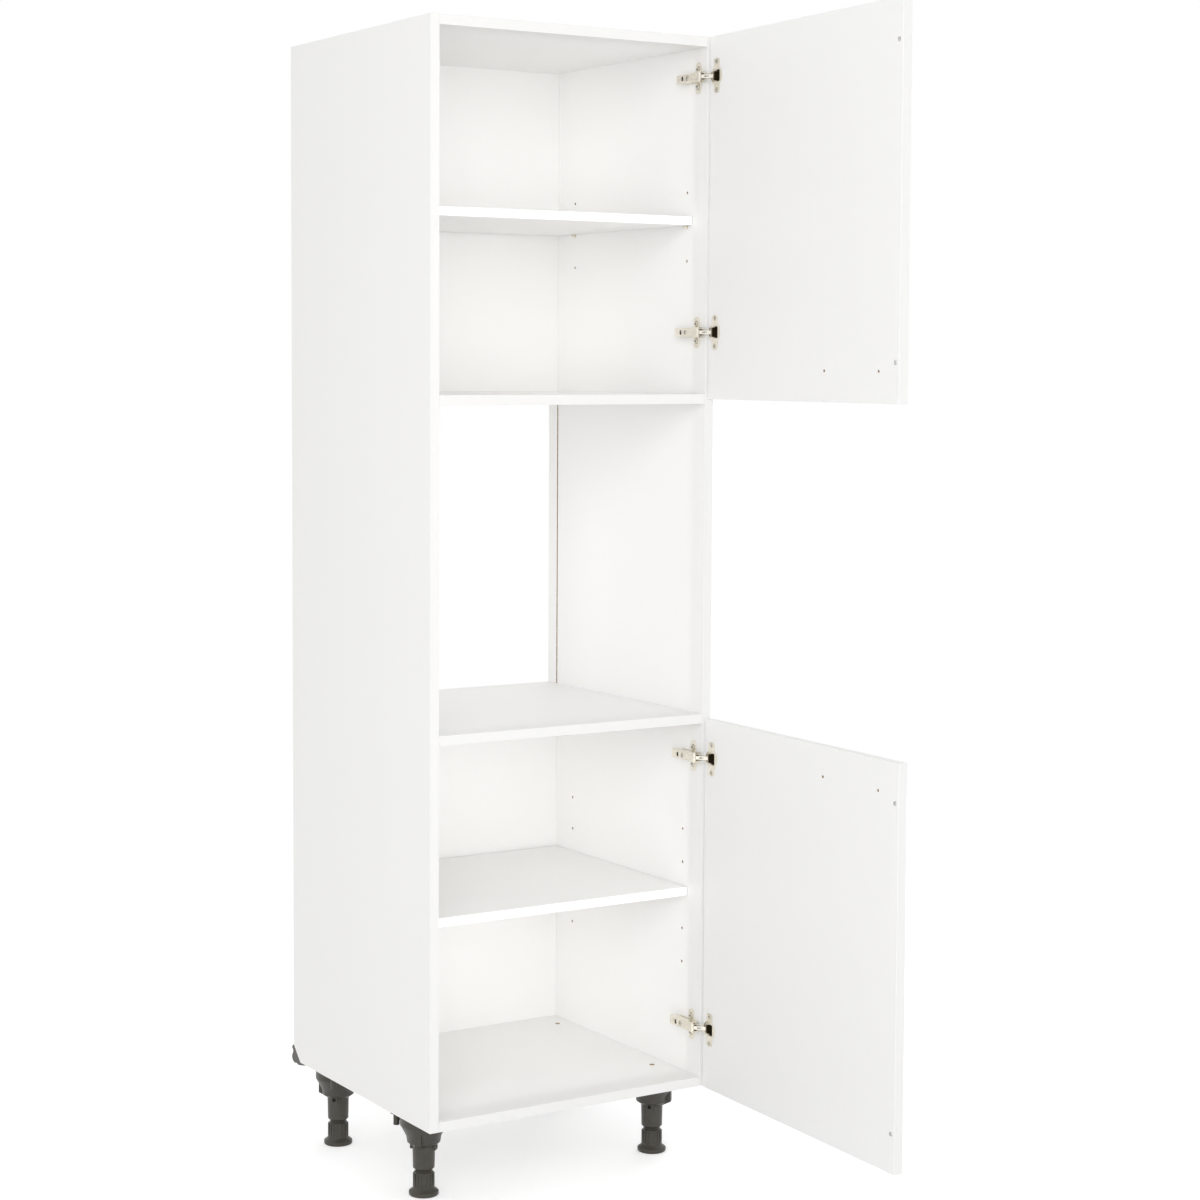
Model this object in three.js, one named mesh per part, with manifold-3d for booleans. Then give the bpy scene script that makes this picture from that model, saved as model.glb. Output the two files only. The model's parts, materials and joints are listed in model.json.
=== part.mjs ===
// A tall oven housing unit, drawn with its two doors open.
// Millimetres, +Z up. While it is being built, X is across the unit with 0 in its middle,
// Y = 0 is the front edge of the carcass and grows to the rear, and Z = 0 is the floor.
import * as THREE from "three";
import { mergeVertices } from "three/addons/utils/BufferGeometryUtils.js";
import Module from "manifold-3d";

const manifoldLibrary = await Module();
manifoldLibrary.setup();
const { Manifold, Mesh: SolidMesh } = manifoldLibrary;

// ---------------------------------------------------------------- driving dimensions
const width = 600; // over both side panels
const depth = 560; // side panels, front edge to rear edge
const legHeight = 150; // floor to the underside of the carcass
const boardThickness = 18; // carcass panels
const lowerSpace = 675; // clear height of the lower cupboard
const nicheHeight = 582; // clear height of the oven niche
const upperSpace = 641; // clear height of the upper cupboard
const jointGap = 0.15; // left between two pieces that are fixed face to face
const seatGap = 0.3; // left under a piece that rests in or on another

const backThickness = 3.2;
const backInset = 33; // rear edge of the sides to the back panel
const grooveDepth = 6;
const grooveClearance = 0.4; // groove width over the back's thickness
const cornerCut = 30; // 45 degree cut at the lower rear corner of each side

const shelfThickness = 16; // the two loose shelves
const shelfSetback = 45; // front edge of the carcass to a loose shelf
const shelfEndGap = 1; // at each end of a loose shelf
const shelfRearGap = 4; // to the back panel
const pinHolePitch = 64;
const pinHoleFront = 63; // front edge of the sides to the first column of holes
const pinHoleRear = 99; // rear edge of the sides to the second column
const pinHoleRadius = 2.5;
const pinHoleDepth = 10;
const lowerPinRows = 5;
const upperPinRows = 3;
const pinSlack = 0.1; // pin radius under hole radius
const pinReach = 8; // how far a pin stands into the cupboard
const pinCollarRadius = 4;
const pinCollarGap = 0.25; // collar of a pin to the end of a loose shelf

const doorThickness = 18;
const doorSideGap = 2; // door edge inside the carcass edge
const doorFrontGap = 2; // closed door to the front edge of the carcass
const doorShelfCover = 9; // how far a door covers the edge of the fixed shelf beside the niche
const upperDoorOpen = 87; // degrees from closed, as drawn
const lowerDoorOpen = 88;
const doorPivotInset = 7; // outer face of the right side to the turning axis of the doors
const doorPivotFront = 10; // front edge of the carcass to that axis
const handleHoleRadius = 2.5;
const handleHolePitch = 160;
const handleHoleFreeEdge = 57; // free edge of a door to the nearer hole
const handleHoleNicheEdge = 54; // edge of a door beside the niche to both holes
const bumperRadius = 4;
const bumperThickness = 1.5;
const bumperFromFreeEdge = 10;
const bumperFromEnd = 69;

const hingeScrewLine = 28; // front edge of the side to the screws of the plate
const hingeScrewPitch = 32;
const hingeFromNicheEnd = { upper: 124, lower: 73 };
const hingeFromOuterEnd = { upper: 73, lower: 114 };
const plateThickness = 1.5;
const wingHalfHeight = 29;
const wingRadius = 9;
const plateFront = 10;
const plateRear = 68;
const plateHalfHeight = 9;
const bridgeFront = 36;
const bridgeHalfHeight = 6;
const bridgeClearance = 0.3; // bridge to the inside of the arm
const plateScrewRadius = 5;
const plateScrewHead = 2.2;
const armLength = 82;
const armFront = 0.4; // front edge of the carcass to the nose of the arm
const armPastCup = 11; // centre of a closed door's cup to the outside of the arm
const armHalfHeight = 8;
const armSheet = 1.6;
const armFloorGap = 2.6; // side panel to the edges of the arm's cheeks
const armTailSlope = 7;
const armSlotCentre = 56;
const armSlotLength = 6;
const armSlotHalfHeight = 4.2;
const armScrewCentre = 41;
const armScrewRadius = 3.6;
const armScrewHead = 1;

const cupInset = 7; // inner face of the side to the centre of a closed door's cup
const cupRadius = 17.5;
const cupDepth = 12.3;
const cupWall = 1.7;
const cupFloor = 0.7;
const cupMouthHalfHeight = 12;
const cupBoreClearance = 0.3;
const flangeThickness = 1;
const flangeGap = 0.15; // door to the underside of the flange
const flangeHalfHeight = 32;
const flangeHalfWidth = 10;
const cupScrewPitch = 52;
const cupScrewRadius = 4;
const cupScrewHead = 0.5;
const leverTipAcross = 12; // centre of the cup to the tip of the lever with the door open
const leverTipAbove = 1.2; // and the tip above the inner face of the door
const leverThickness = 1.8;
const leverHalfHeight = 5.5;
const leverPinInset = 4; // outside of the arm to the pin that the lever turns on
const leverPinRear = 3.1; // nose of the arm to that pin
const leverPinRadius = 1.5;
const leverPinSlack = 0.15; // hole of the lever's eye over the pin, in radius
const leverSheet = 0.6; // wall of the eye
const leverTurn = -0.15; // degrees that the lever turns for each degree of its door
const fullyOpen = 90; // degrees at which the lever's tip is measured

const legInset = 50; // outer face of a side to the legs beside it
const legFront = 115; // front edge of the carcass to the front legs
const legRear = 95; // rear edge of the carcass to the rear legs
const dowelRadius = 5;
const dowelSlack = 0.3;
const dowelBelowFloor = 2;
const socketBottom = 45.6;
const socketChamfer = 5.5;
const socketRadius = 20.8;
const socketTaper = 0.8;
const hoodBase = 92; // floor to the flare of the hood over the socket
const hoodRim = 99;
const hoodRimRadius = 30.5;
const hoodFlare = 111;
const hoodFlareRadius = 32.5;
const hoodTop = 131;
const hoodTopRadius = 43.5;
const legPlateThickness = 3.2;
const legPlateEnd = 62; // axis of the leg to each end of its plate
const legPlateHalf = 24;
const bossAlong = 55; // axis of the leg to the bosses at the ends of its plate
const bossAcross = 9.5;
const bossRadius = 5.8;
const bossBottom = 122.5;
const ribReach = 38; // rib that points at the corner of the unit
const ribThickness = 12;
const ribTipBottom = 99;
const legBoreRadius = 14.4;
const legBoreTop = 120;
const windowHeight = 91.5;
const windowFrame = 13.5;
const windowStand = 4; // how far the frame of a window stands off the socket
const windowHole = 6;
const stemSlack = 0.4;
const stemTop = 112;
const sleeveTop = 43;
const sleeveTopRadius = 18;
const sleeveFootRadius = 19.3;
const flareHeight = 14;
const discRadius = 27.5;
const discEdge = 7.5;

const shoeThickness = 16;
const shoeBehind = 9; // how far the corner shoe stands out behind the unit
const shoeBelow = 6.5; // and below the carcass
const shoeTongue = 47; // rear edge of the side to the tip of its tongue

// ---------------------------------------------------------------- levels and planes
const halfWidth = width / 2;
const innerHalf = halfWidth - boardThickness;
const floorTop = legHeight + boardThickness;
const ovenShelfBottom = floorTop + lowerSpace;
const ovenShelfTop = ovenShelfBottom + boardThickness;
const nicheCeiling = ovenShelfTop + nicheHeight;
const upperFloor = nicheCeiling + boardThickness;
const ceiling = upperFloor + upperSpace;
const top = ceiling + boardThickness;
const backFront = depth - backInset - backThickness;
const grooveFront = backFront - grooveClearance / 2;
const grooveRear = backFront + backThickness + grooveClearance / 2;
const lowerPinHeight = floorTop + lowerSpace / 2;
const upperPinHeight = upperFloor + upperSpace / 2 - shelfThickness / 2;
const pinRadius = pinHoleRadius - pinSlack;
const pinCollarThickness = shelfEndGap - jointGap - pinCollarGap;
const armOutside = innerHalf - cupInset - armPastCup;

// ---------------------------------------------------------------- finishes
function finish(colour, roughness, metalness = 0) {
  return new THREE.MeshStandardMaterial({ color: colour, roughness, metalness });
}

const whiteBoard = finish(0xf2f2ef, 0.45);
const whiteDoor = finish(0xf4f4f1, 0.4);
const whiteHardboard = finish(0xf0f0ec, 0.5);
const nickel = finish(0xcfc8b8, 0.28, 0.9);
const darkPlastic = finish(0x5a5852, 0.5);
const clearPlastic = finish(0xe4e4e0, 0.2);

// ---------------------------------------------------------------- shapes
const xAxis = new THREE.Vector3(1, 0, 0);
const yAxis = new THREE.Vector3(0, 1, 0);
const zAxis = new THREE.Vector3(0, 0, 1);
// An outline is drawn in two axes and thickened along the third, in the order x, y, z, x, y.
const thickenedAlong = {
  x: new THREE.Matrix4().makeBasis(yAxis, zAxis, xAxis),
  y: new THREE.Matrix4().makeBasis(zAxis, xAxis, yAxis),
  z: new THREE.Matrix4().makeBasis(xAxis, yAxis, zAxis),
};

function slab(outline, axis, start, end) {
  const shape = Array.isArray(outline) ? new THREE.Shape(outline) : outline;
  const settings = { depth: end - start, bevelEnabled: false, curveSegments: 6 };
  const geometry = new THREE.ExtrudeGeometry(shape, settings);
  return geometry.translate(0, 0, start).applyMatrix4(thickenedAlong[axis]);
}

function points(...pairs) {
  return pairs.map(([u, v]) => new THREE.Vector2(u, v));
}

function block([x0, x1], [y0, y1], [z0, z1]) {
  const geometry = new THREE.BoxGeometry(x1 - x0, y1 - y0, z1 - z0);
  return geometry.translate((x0 + x1) / 2, (y0 + y1) / 2, (z0 + z1) / 2);
}

function circle(u, v, radius, sides) {
  const corner = (index) => ((index + 0.5) / sides) * 2 * Math.PI;
  return Array.from({ length: sides }, (_, index) => new THREE.Vector2(
    u + radius * Math.cos(corner(index)),
    v + radius * Math.sin(corner(index)),
  ));
}

function rod(axis, start, end, u, v, radius, sides = 12) {
  return slab(circle(u, v, radius, sides), axis, start, end);
}

function roundedBar(halfU, halfV, radius, centreU = 0, centreV = 0) {
  const shape = new THREE.Shape();
  const right = centreU + halfU;
  const left = centreU - halfU;
  const upper = centreV + halfV;
  const lower = centreV - halfV;
  shape.absarc(right - radius, lower + radius, radius, -Math.PI / 2, 0);
  shape.absarc(right - radius, upper - radius, radius, 0, Math.PI / 2);
  shape.absarc(left + radius, upper - radius, radius, Math.PI / 2, Math.PI);
  shape.absarc(left + radius, lower + radius, radius, Math.PI, 1.5 * Math.PI);
  return shape;
}

function turned(profile, sides, turn = 0) {
  const lathe = new THREE.LatheGeometry(points(...profile), sides, turn);
  return lathe.rotateX(Math.PI / 2);
}

// ---------------------------------------------------------------- joining and cutting
function toSolid(geometry) {
  const bare = geometry.clone();
  bare.deleteAttribute("normal");
  bare.deleteAttribute("uv");
  const merged = mergeVertices(bare, 1e-4);
  return new Manifold(new SolidMesh({
    numProp: 3,
    vertProperties: new Float32Array(merged.attributes.position.array),
    triVerts: new Uint32Array(merged.index.array),
  }));
}

function toGeometry(solid) {
  const mesh = solid.getMesh();
  const geometry = new THREE.BufferGeometry();
  geometry.setAttribute("position", new THREE.BufferAttribute(mesh.vertProperties, 3));
  geometry.setIndex(new THREE.BufferAttribute(mesh.triVerts, 1));
  geometry.computeVertexNormals();
  return geometry;
}

function carve(bodies, cuts = []) {
  const joined = bodies.map(toSolid).reduce((whole, piece) => whole.add(piece));
  const carved = cuts.map(toSolid).reduce((whole, cut) => whole.subtract(cut), joined);
  return toGeometry(carved);
}

function piece(name, geometry, material) {
  const mesh = new THREE.Mesh(geometry, material);
  mesh.name = name;
  return mesh;
}

// ---------------------------------------------------------------- carcass
const spaces = {
  lower: { pinHeight: lowerPinHeight, rows: lowerPinRows },
  upper: { pinHeight: upperPinHeight, rows: upperPinRows },
};
const pinColumns = { front: pinHoleFront, rear: depth - pinHoleRear };
const cutOvershoot = 1; // cutting shapes run this far past the faces that they open

function pinHoles(sign) {
  const near = sign * (innerHalf - cutOvershoot);
  const far = sign * (innerHalf + pinHoleDepth);
  const holes = [];
  for (const { pinHeight, rows } of Object.values(spaces))
    for (let row = 0; row < rows; row += 1)
      for (const y of Object.values(pinColumns)) {
        const height = pinHeight + (row - (rows - 1) / 2) * pinHolePitch;
        holes.push(rod("x", Math.min(near, far), Math.max(near, far), y, height, pinHoleRadius, 8));
      }
  return holes;
}

function sidePanel(sign) {
  const outline = points(
    [0, legHeight], [depth - cornerCut, legHeight],
    [depth, legHeight + cornerCut], [depth, top], [0, top],
  );
  const inner = sign * innerHalf;
  const outer = sign * halfWidth;
  const board = slab(outline, "x", Math.min(inner, outer), Math.max(inner, outer));
  const grooveX = [sign * (innerHalf - cutOvershoot), sign * (innerHalf + grooveDepth)];
  const groove = block(
    grooveX.sort((a, b) => a - b),
    [grooveFront, grooveRear],
    [legHeight - cutOvershoot, top + cutOvershoot],
  );
  return carve([board], [groove, ...pinHoles(sign)]);
}

const boardSpan = [-innerHalf + jointGap, innerHalf - jointGap];

function fixedBoard(bottom, grooveAt, holes = []) {
  const board = block(boardSpan, [0, depth], [bottom, bottom + boardThickness]);
  const grooves = grooveAt.map(([from, to]) => block(
    [-halfWidth, halfWidth], [grooveFront, grooveRear], [from, to],
  ));
  return carve([board], [...grooves, ...holes]);
}

function grooveAbove(level) {
  return [level - grooveDepth, level + cutOvershoot];
}

function grooveBelow(level) {
  return [level - cutOvershoot, level + grooveDepth];
}

// The corner of the unit that each leg's rib points at is in degrees from X.
const legX = halfWidth - legInset;
const legPlaces = {
  front_left: { x: -legX, y: legFront, corner: -135 },
  front_right: { x: legX, y: legFront, corner: -45 },
  rear_left: { x: -legX, y: depth - legRear, corner: 135 },
  rear_right: { x: legX, y: depth - legRear, corner: 45 },
};

const legHoles = Object.values(legPlaces).map(({ x, y }) => rod(
  "z", legHeight - cutOvershoot, floorTop + cutOvershoot, x, y, dowelRadius + dowelSlack,
));

function backPanel(from, to) {
  const reach = grooveDepth - seatGap;
  return block(
    [-innerHalf - reach, innerHalf + reach],
    [backFront, backFront + backThickness],
    [from - reach, to + reach],
  );
}

function looseShelf(pinHeight) {
  const bottom = pinHeight + pinRadius + seatGap;
  return block(
    [-innerHalf + shelfEndGap, innerHalf - shelfEndGap],
    [shelfSetback, backFront - shelfRearGap],
    [bottom, bottom + shelfThickness],
  );
}

function shelfPin(sign, y, height) {
  const tip = -pinHoleDepth + 1;
  const collarFace = jointGap + pinCollarThickness;
  const profile = [
    [0, tip], [pinRadius, tip], [pinRadius, jointGap], [pinCollarRadius, jointGap],
    [pinCollarRadius, collarFace], [pinRadius, collarFace], [pinRadius, pinReach], [0, pinReach],
  ];
  const pin = turned(profile, 8, Math.PI / 8);
  pin.rotateY(-sign * Math.PI / 2);
  return pin.translate(sign * innerHalf, y, height);
}

function carcass() {
  const group = new THREE.Group();
  group.add(
    piece("side_panel_left", sidePanel(-1), whiteBoard),
    piece("side_panel_right", sidePanel(1), whiteBoard),
    piece("base_panel", fixedBoard(legHeight, [grooveAbove(floorTop)], legHoles), whiteBoard),
    piece("oven_shelf", fixedBoard(ovenShelfBottom, [grooveBelow(ovenShelfBottom)]), whiteBoard),
    piece("niche_top_panel", fixedBoard(nicheCeiling, [grooveAbove(upperFloor)]), whiteBoard),
    piece("top_panel", fixedBoard(ceiling, [grooveBelow(ceiling)]), whiteBoard),
    piece("back_panel_lower", backPanel(floorTop, ovenShelfBottom), whiteHardboard),
    piece("back_panel_upper", backPanel(upperFloor, ceiling), whiteHardboard),
  );
  for (const [spaceName, { pinHeight }] of Object.entries(spaces)) {
    group.add(piece("loose_shelf_" + spaceName, looseShelf(pinHeight), whiteBoard));
    for (const [columnName, y] of Object.entries(pinColumns))
      for (const [sideName, sign] of [["left", -1], ["right", 1]]) {
        const name = ["shelf_pin", spaceName, columnName, sideName].join("_");
        group.add(piece(name, shelfPin(sign, y, pinHeight), nickel));
      }
  }
  return group;
}

// ---------------------------------------------------------------- legs
function hoodedSocket() {
  const foot = socketRadius - socketTaper;
  return turned([
    [0, socketBottom], [foot - socketChamfer, socketBottom],
    [foot, socketBottom + socketChamfer], [socketRadius, hoodBase],
    [hoodRimRadius, hoodRim], [hoodFlareRadius, hoodFlare],
    [hoodTopRadius, hoodTop], [hoodTopRadius, legHeight - jointGap], [0, legHeight - jointGap],
  ], 16);
}

// The socket of one leg, drawn round its own axis with +X pointing at the corner of the unit.
function legSocket() {
  const plateTop = legHeight - jointGap;
  const plateBottom = plateTop - legPlateThickness;
  const plateSide = hoodTopRadius - bossRadius;
  const plate = slab(points(
    [plateSide, -legPlateHalf], [plateSide, legPlateHalf], [bossRadius, legPlateEnd],
    [-bossAcross - bossRadius, legPlateEnd], [-plateSide, legPlateHalf],
    [-plateSide, -legPlateHalf], [-bossAcross - bossRadius, -legPlateEnd],
    [bossRadius, -legPlateEnd],
  ), "z", plateBottom, plateTop);
  const ribProfile = points(
    [hoodBase - 2, 0], [hoodBase - 1, socketRadius], [ribTipBottom, ribReach],
    [plateTop, ribReach], [plateTop, 0],
  );
  const rib = slab(ribProfile, "y", -ribThickness / 2, ribThickness / 2);
  const bosses = [-1, 1].map((sign) => rod(
    "z", bossBottom, plateBottom + 1, -bossAcross, sign * bossAlong, bossRadius,
  ));
  const dowel = rod("z", plateTop - 1, floorTop - dowelBelowFloor, 0, 0, dowelRadius);
  const frames = block(
    [-windowFrame / 2, windowFrame / 2],
    [-socketRadius - windowStand, socketRadius + windowStand],
    [windowHeight - windowFrame / 2, windowHeight + windowFrame / 2],
  );
  const windows = [-1, 1].map((sign) => block(
    [-windowHole / 2, windowHole / 2],
    sign > 0 ? [socketRadius, hoodTopRadius] : [-hoodTopRadius, -socketRadius],
    [windowHeight - windowHole / 2, windowHeight + windowHole / 2],
  ));
  const bore = rod("z", socketBottom - cutOvershoot, legBoreTop, 0, 0, legBoreRadius, 16);
  return carve([hoodedSocket(), plate, rib, ...bosses, dowel, frames], [bore, ...windows]);
}

function levellingFoot() {
  const stemRadius = legBoreRadius - stemSlack;
  return turned([
    [0, 0], [discRadius - 2, 0], [discRadius, 2], [discRadius, discEdge],
    [sleeveFootRadius + 2.5, flareHeight - 3], [sleeveFootRadius, flareHeight],
    [sleeveTopRadius, sleeveTop - 1], [sleeveTopRadius - 1, sleeveTop],
    [stemRadius, sleeveTop], [stemRadius, stemTop], [0, stemTop],
  ], 16);
}

function legs() {
  const group = new THREE.Group();
  for (const [place, { x, y, corner }] of Object.entries(legPlaces)) {
    const socket = legSocket().rotateZ(THREE.MathUtils.degToRad(corner));
    group.add(
      piece("leg_socket_" + place, socket.translate(x, y, 0), darkPlastic),
      piece("leg_foot_" + place, levellingFoot().translate(x, y, 0), darkPlastic),
    );
  }
  return group;
}

// ---------------------------------------------------------------- corner shoes
// A plastic shoe fills the cut corner, so that the unit can be tipped up on to its legs.
function cornerShoe(sign) {
  const back = depth + shoeBehind;
  const below = legHeight - shoeBelow;
  const cut = depth - cornerCut;
  const offset = seatGap * Math.SQRT2;
  const outline = new THREE.Shape();
  outline.moveTo(cut, legHeight - seatGap);
  outline.lineTo(cut + offset / 2, legHeight - seatGap);
  outline.lineTo(depth + offset, legHeight + cornerCut + seatGap / 2);
  outline.splineThru(points(
    [back, legHeight + 0.77 * cornerCut], [back - 5, legHeight + 0.53 * cornerCut],
    [back, legHeight + 0.2 * cornerCut], [back - 2, legHeight - 2], [depth - 1, below],
    [depth - 10, below + 1.2], [depth - 19, below - 0.4],
    [depth - 30, below + 1], [depth - shoeTongue, legHeight - 2],
  ));
  outline.lineTo(depth - shoeTongue, legHeight - seatGap);
  const inner = sign * (innerHalf + 1);
  const outer = sign * (innerHalf + 1 + shoeThickness);
  return slab(outline, "x", Math.min(inner, outer), Math.max(inner, outer));
}

// ---------------------------------------------------------------- hinges, carcass side
function hingePlate(height) {
  const face = innerHalf - jointGap;
  const sheet = face - plateThickness;
  const base = slab(
    roundedBar((plateRear - plateFront) / 2, plateHalfHeight, 3, (plateFront + plateRear) / 2, height),
    "x", sheet, face,
  );
  const wings = slab(
    roundedBar(wingRadius, wingHalfHeight, wingRadius - 1, hingeScrewLine, height),
    "x", sheet, face,
  );
  const bridge = block(
    [armOutside + armSheet + bridgeClearance, sheet + 0.2],
    [bridgeFront, plateRear - 2],
    [height - bridgeHalfHeight, height + bridgeHalfHeight],
  );
  const screws = [-1, 1].map((sign) => rod(
    "x", sheet - plateScrewHead, sheet + 0.2,
    hingeScrewLine, height + sign * hingeScrewPitch / 2, plateScrewRadius,
  ));
  return carve([base, wings, bridge, ...screws]);
}

function hingeArm(height) {
  const outside = armOutside;
  const cheekEdge = innerHalf - armFloorGap;
  const rear = armFront + armLength;
  const outline = points(
    [outside + 2, armFront], [cheekEdge - 4, armFront], [cheekEdge, armFront + 8],
    [cheekEdge, rear - armTailSlope], [cheekEdge - 4, rear],
    [outside + armTailSlope, rear], [outside, rear - armTailSlope], [outside, armFront + 2],
  );
  const body = slab(outline, "z", height - armHalfHeight, height + armHalfHeight);
  const channelHalf = bridgeHalfHeight + bridgeClearance;
  const channel = block(
    [outside + armSheet, cheekEdge + cutOvershoot],
    [armFront - cutOvershoot, rear - armTailSlope],
    [height - channelHalf, height + channelHalf],
  );
  const slot = block(
    [outside - cutOvershoot, outside + armSheet + bridgeClearance],
    [armSlotCentre - armSlotLength / 2, armSlotCentre + armSlotLength / 2],
    [height - armSlotHalfHeight, height + armSlotHalfHeight],
  );
  const screw = rod(
    "x", outside - armScrewHead, outside + armSheet / 2, armScrewCentre, height, armScrewRadius,
  );
  const nosePin = rod(
    "z", height - armHalfHeight + armSheet / 2, height + armHalfHeight - armSheet / 2,
    outside + leverPinInset, armFront + leverPinRear, leverPinRadius,
  );
  return carve([carve([body], [channel, slot]), screw, nosePin]);
}

// The lever lies along its own +X, with the axis of its pin on the origin.
function hingeLever(height) {
  const half = leverThickness / 2;
  const heights = [height - leverHalfHeight, height + leverHalfHeight];
  const strap = block([0, leverReach.length()], [-half, half], heights);
  const eye = rod("z", ...heights, 0, 0, leverPinRadius + leverPinSlack + leverSheet);
  const bore = rod(
    "z", heights[0] - cutOvershoot, heights[1] + cutOvershoot,
    0, 0, leverPinRadius + leverPinSlack,
  );
  return carve([strap, eye], [bore]);
}

// ---------------------------------------------------------------- doors
// A door and its hinge cups are drawn closed, round the axis that the door turns on.
const pivotX = halfWidth - doorPivotInset;
const pivotY = -doorPivotFront;
const hingeEdge = halfWidth - doorSideGap - pivotX;
const freeEdge = -halfWidth + doorSideGap - pivotX;
const innerFace = -doorFrontGap - pivotY;
const outerFace = innerFace - doorThickness;
const cupX = innerHalf - cupInset - pivotX;

// From the lever's pin to the mouth of the cup, where its tip is with the door fully open.
const leverPin = new THREE.Vector2(armOutside + leverPinInset, armFront + leverPinRear);
const leverReach = new THREE.Vector2(cupX + leverTipAcross, innerFace + leverTipAbove)
  .rotateAround(new THREE.Vector2(), THREE.MathUtils.degToRad(fullyOpen))
  .add(new THREE.Vector2(pivotX, pivotY))
  .sub(leverPin);

const doors = {
  upper: {
    open: upperDoorOpen,
    bottom: nicheCeiling + doorShelfCover,
    top,
    nicheEnd: nicheCeiling + doorShelfCover,
    outerEnd: top,
  },
  lower: {
    open: lowerDoorOpen,
    bottom: legHeight,
    top: ovenShelfTop - doorShelfCover,
    nicheEnd: ovenShelfTop - doorShelfCover,
    outerEnd: legHeight,
  },
};

// A distance in from one end of a door, as a height.
function inwards(door, end, distance) {
  return end + (end === door.top ? -distance : distance);
}

function hingeHeights(doorName) {
  const door = doors[doorName];
  const heights = [
    inwards(door, door.nicheEnd, hingeFromNicheEnd[doorName]),
    inwards(door, door.outerEnd, hingeFromOuterEnd[doorName]),
  ].sort((a, b) => a - b);
  return { bottom: heights[0], top: heights[1] };
}

function doorLeaf(doorName) {
  const door = doors[doorName];
  const leaf = block([freeEdge, hingeEdge], [outerFace, innerFace], [door.bottom, door.top]);
  const boreDepth = flangeGap + cupDepth + seatGap;
  const bores = Object.values(hingeHeights(doorName)).map((height) => rod(
    "y", innerFace - boreDepth, innerFace + cutOvershoot,
    height, cupX, cupRadius + cupBoreClearance, 20,
  ));
  const handleHeight = inwards(door, door.nicheEnd, handleHoleNicheEdge);
  const handleHoles = [0, handleHolePitch].map((along) => rod(
    "y", outerFace - cutOvershoot, innerFace + cutOvershoot,
    handleHeight, freeEdge + handleHoleFreeEdge + along, handleHoleRadius, 10,
  ));
  return carve([leaf], [...bores, ...handleHoles]);
}

function hingeCup(height) {
  const under = innerFace + flangeGap;
  const over = under + flangeThickness;
  const cup = rod("y", under - cupDepth, over, height, cupX, cupRadius, 20);
  const flange = slab(
    roundedBar(flangeHalfHeight, flangeHalfWidth, 6, height, cupX), "y", under, over,
  );
  const rim = rod("y", under, over, height, cupX, cupRadius + cupWall, 20);
  const screws = [-1, 1].map((sign) => rod(
    "y", under, over + cupScrewHead, height + sign * cupScrewPitch / 2, cupX, cupScrewRadius,
  ));
  const hollow = toSolid(rod(
    "y", under - cupDepth + cupFloor, over + cutOvershoot, height, cupX, cupRadius - cupWall, 20,
  ));
  const mouth = toSolid(block(
    [cupX - cupRadius, cupX + cupRadius], [under - cupDepth, over + cutOvershoot],
    [height - cupMouthHalfHeight, height + cupMouthHalfHeight],
  ));
  const recess = toGeometry(hollow.intersect(mouth));
  return carve([cup, rim, flange, ...screws], [recess]);
}

function hungDoor(doorName) {
  const door = doors[doorName];
  const turnedDoor = new THREE.Group();
  turnedDoor.position.set(pivotX, pivotY, 0);
  turnedDoor.rotation.z = THREE.MathUtils.degToRad(door.open);
  turnedDoor.add(piece("door_" + doorName, doorLeaf(doorName), whiteDoor));
  for (const [end, height] of Object.entries(hingeHeights(doorName))) {
    const name = ["hinge", doorName, end, "cup"].join("_");
    turnedDoor.add(piece(name, hingeCup(height), nickel));
  }
  const bumperX = freeEdge + bumperFromFreeEdge;
  for (const [end, height] of [["bottom", door.bottom + bumperFromEnd], ["top", door.top - bumperFromEnd]]) {
    const bumper = turned([
      [0, 0], [bumperRadius, 0], [bumperRadius * 0.9, bumperThickness * 0.6], [0, bumperThickness],
    ], 12).rotateX(-Math.PI / 2);
    const name = ["bumper", doorName, end].join("_");
    turnedDoor.add(piece(name, bumper.translate(bumperX, innerFace + flangeGap, height), clearPlastic));
  }
  return turnedDoor;
}

function hinges() {
  const group = new THREE.Group();
  for (const doorName of Object.keys(doors))
    for (const [end, height] of Object.entries(hingeHeights(doorName))) {
      const name = ["hinge", doorName, end].join("_");
      const lever = piece(name + "_lever", hingeLever(height), nickel);
      const turn = leverTurn * (doors[doorName].open - fullyOpen);
      lever.position.set(leverPin.x, leverPin.y, 0);
      lever.rotation.z = leverReach.angle() + THREE.MathUtils.degToRad(turn);
      group.add(
        piece(name + "_plate", hingePlate(height), nickel),
        piece(name + "_arm", hingeArm(height), nickel),
        lever,
      );
    }
  return group;
}

// ---------------------------------------------------------------- the whole unit
const unit = new THREE.Group();
unit.add(
  carcass(),
  legs(),
  hinges(),
  hungDoor("upper"),
  hungDoor("lower"),
  piece("corner_shoe_left", cornerShoe(-1), darkPlastic),
  piece("corner_shoe_right", cornerShoe(1), darkPlastic),
);

// The part's origin is on the floor, under the middle of the space that it takes up as drawn.
const extent = new THREE.Box3().setFromObject(unit, true);
const middle = extent.getCenter(new THREE.Vector3());
unit.position.set(-middle.x, -middle.y, -extent.min.z);

export default unit;
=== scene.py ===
# %% [markdown]
# # A tall oven housing unit
#
# The unit stands open: an upper and a lower cupboard, both with a door hung on the right,
# and between them an open niche for a built-in oven. The measured model is loaded first
# and never changed. What shows is then modelled round it, piece by piece.

# %% Load the measured model
import json
import math

import bpy
from mathutils import Matrix, Vector


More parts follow.
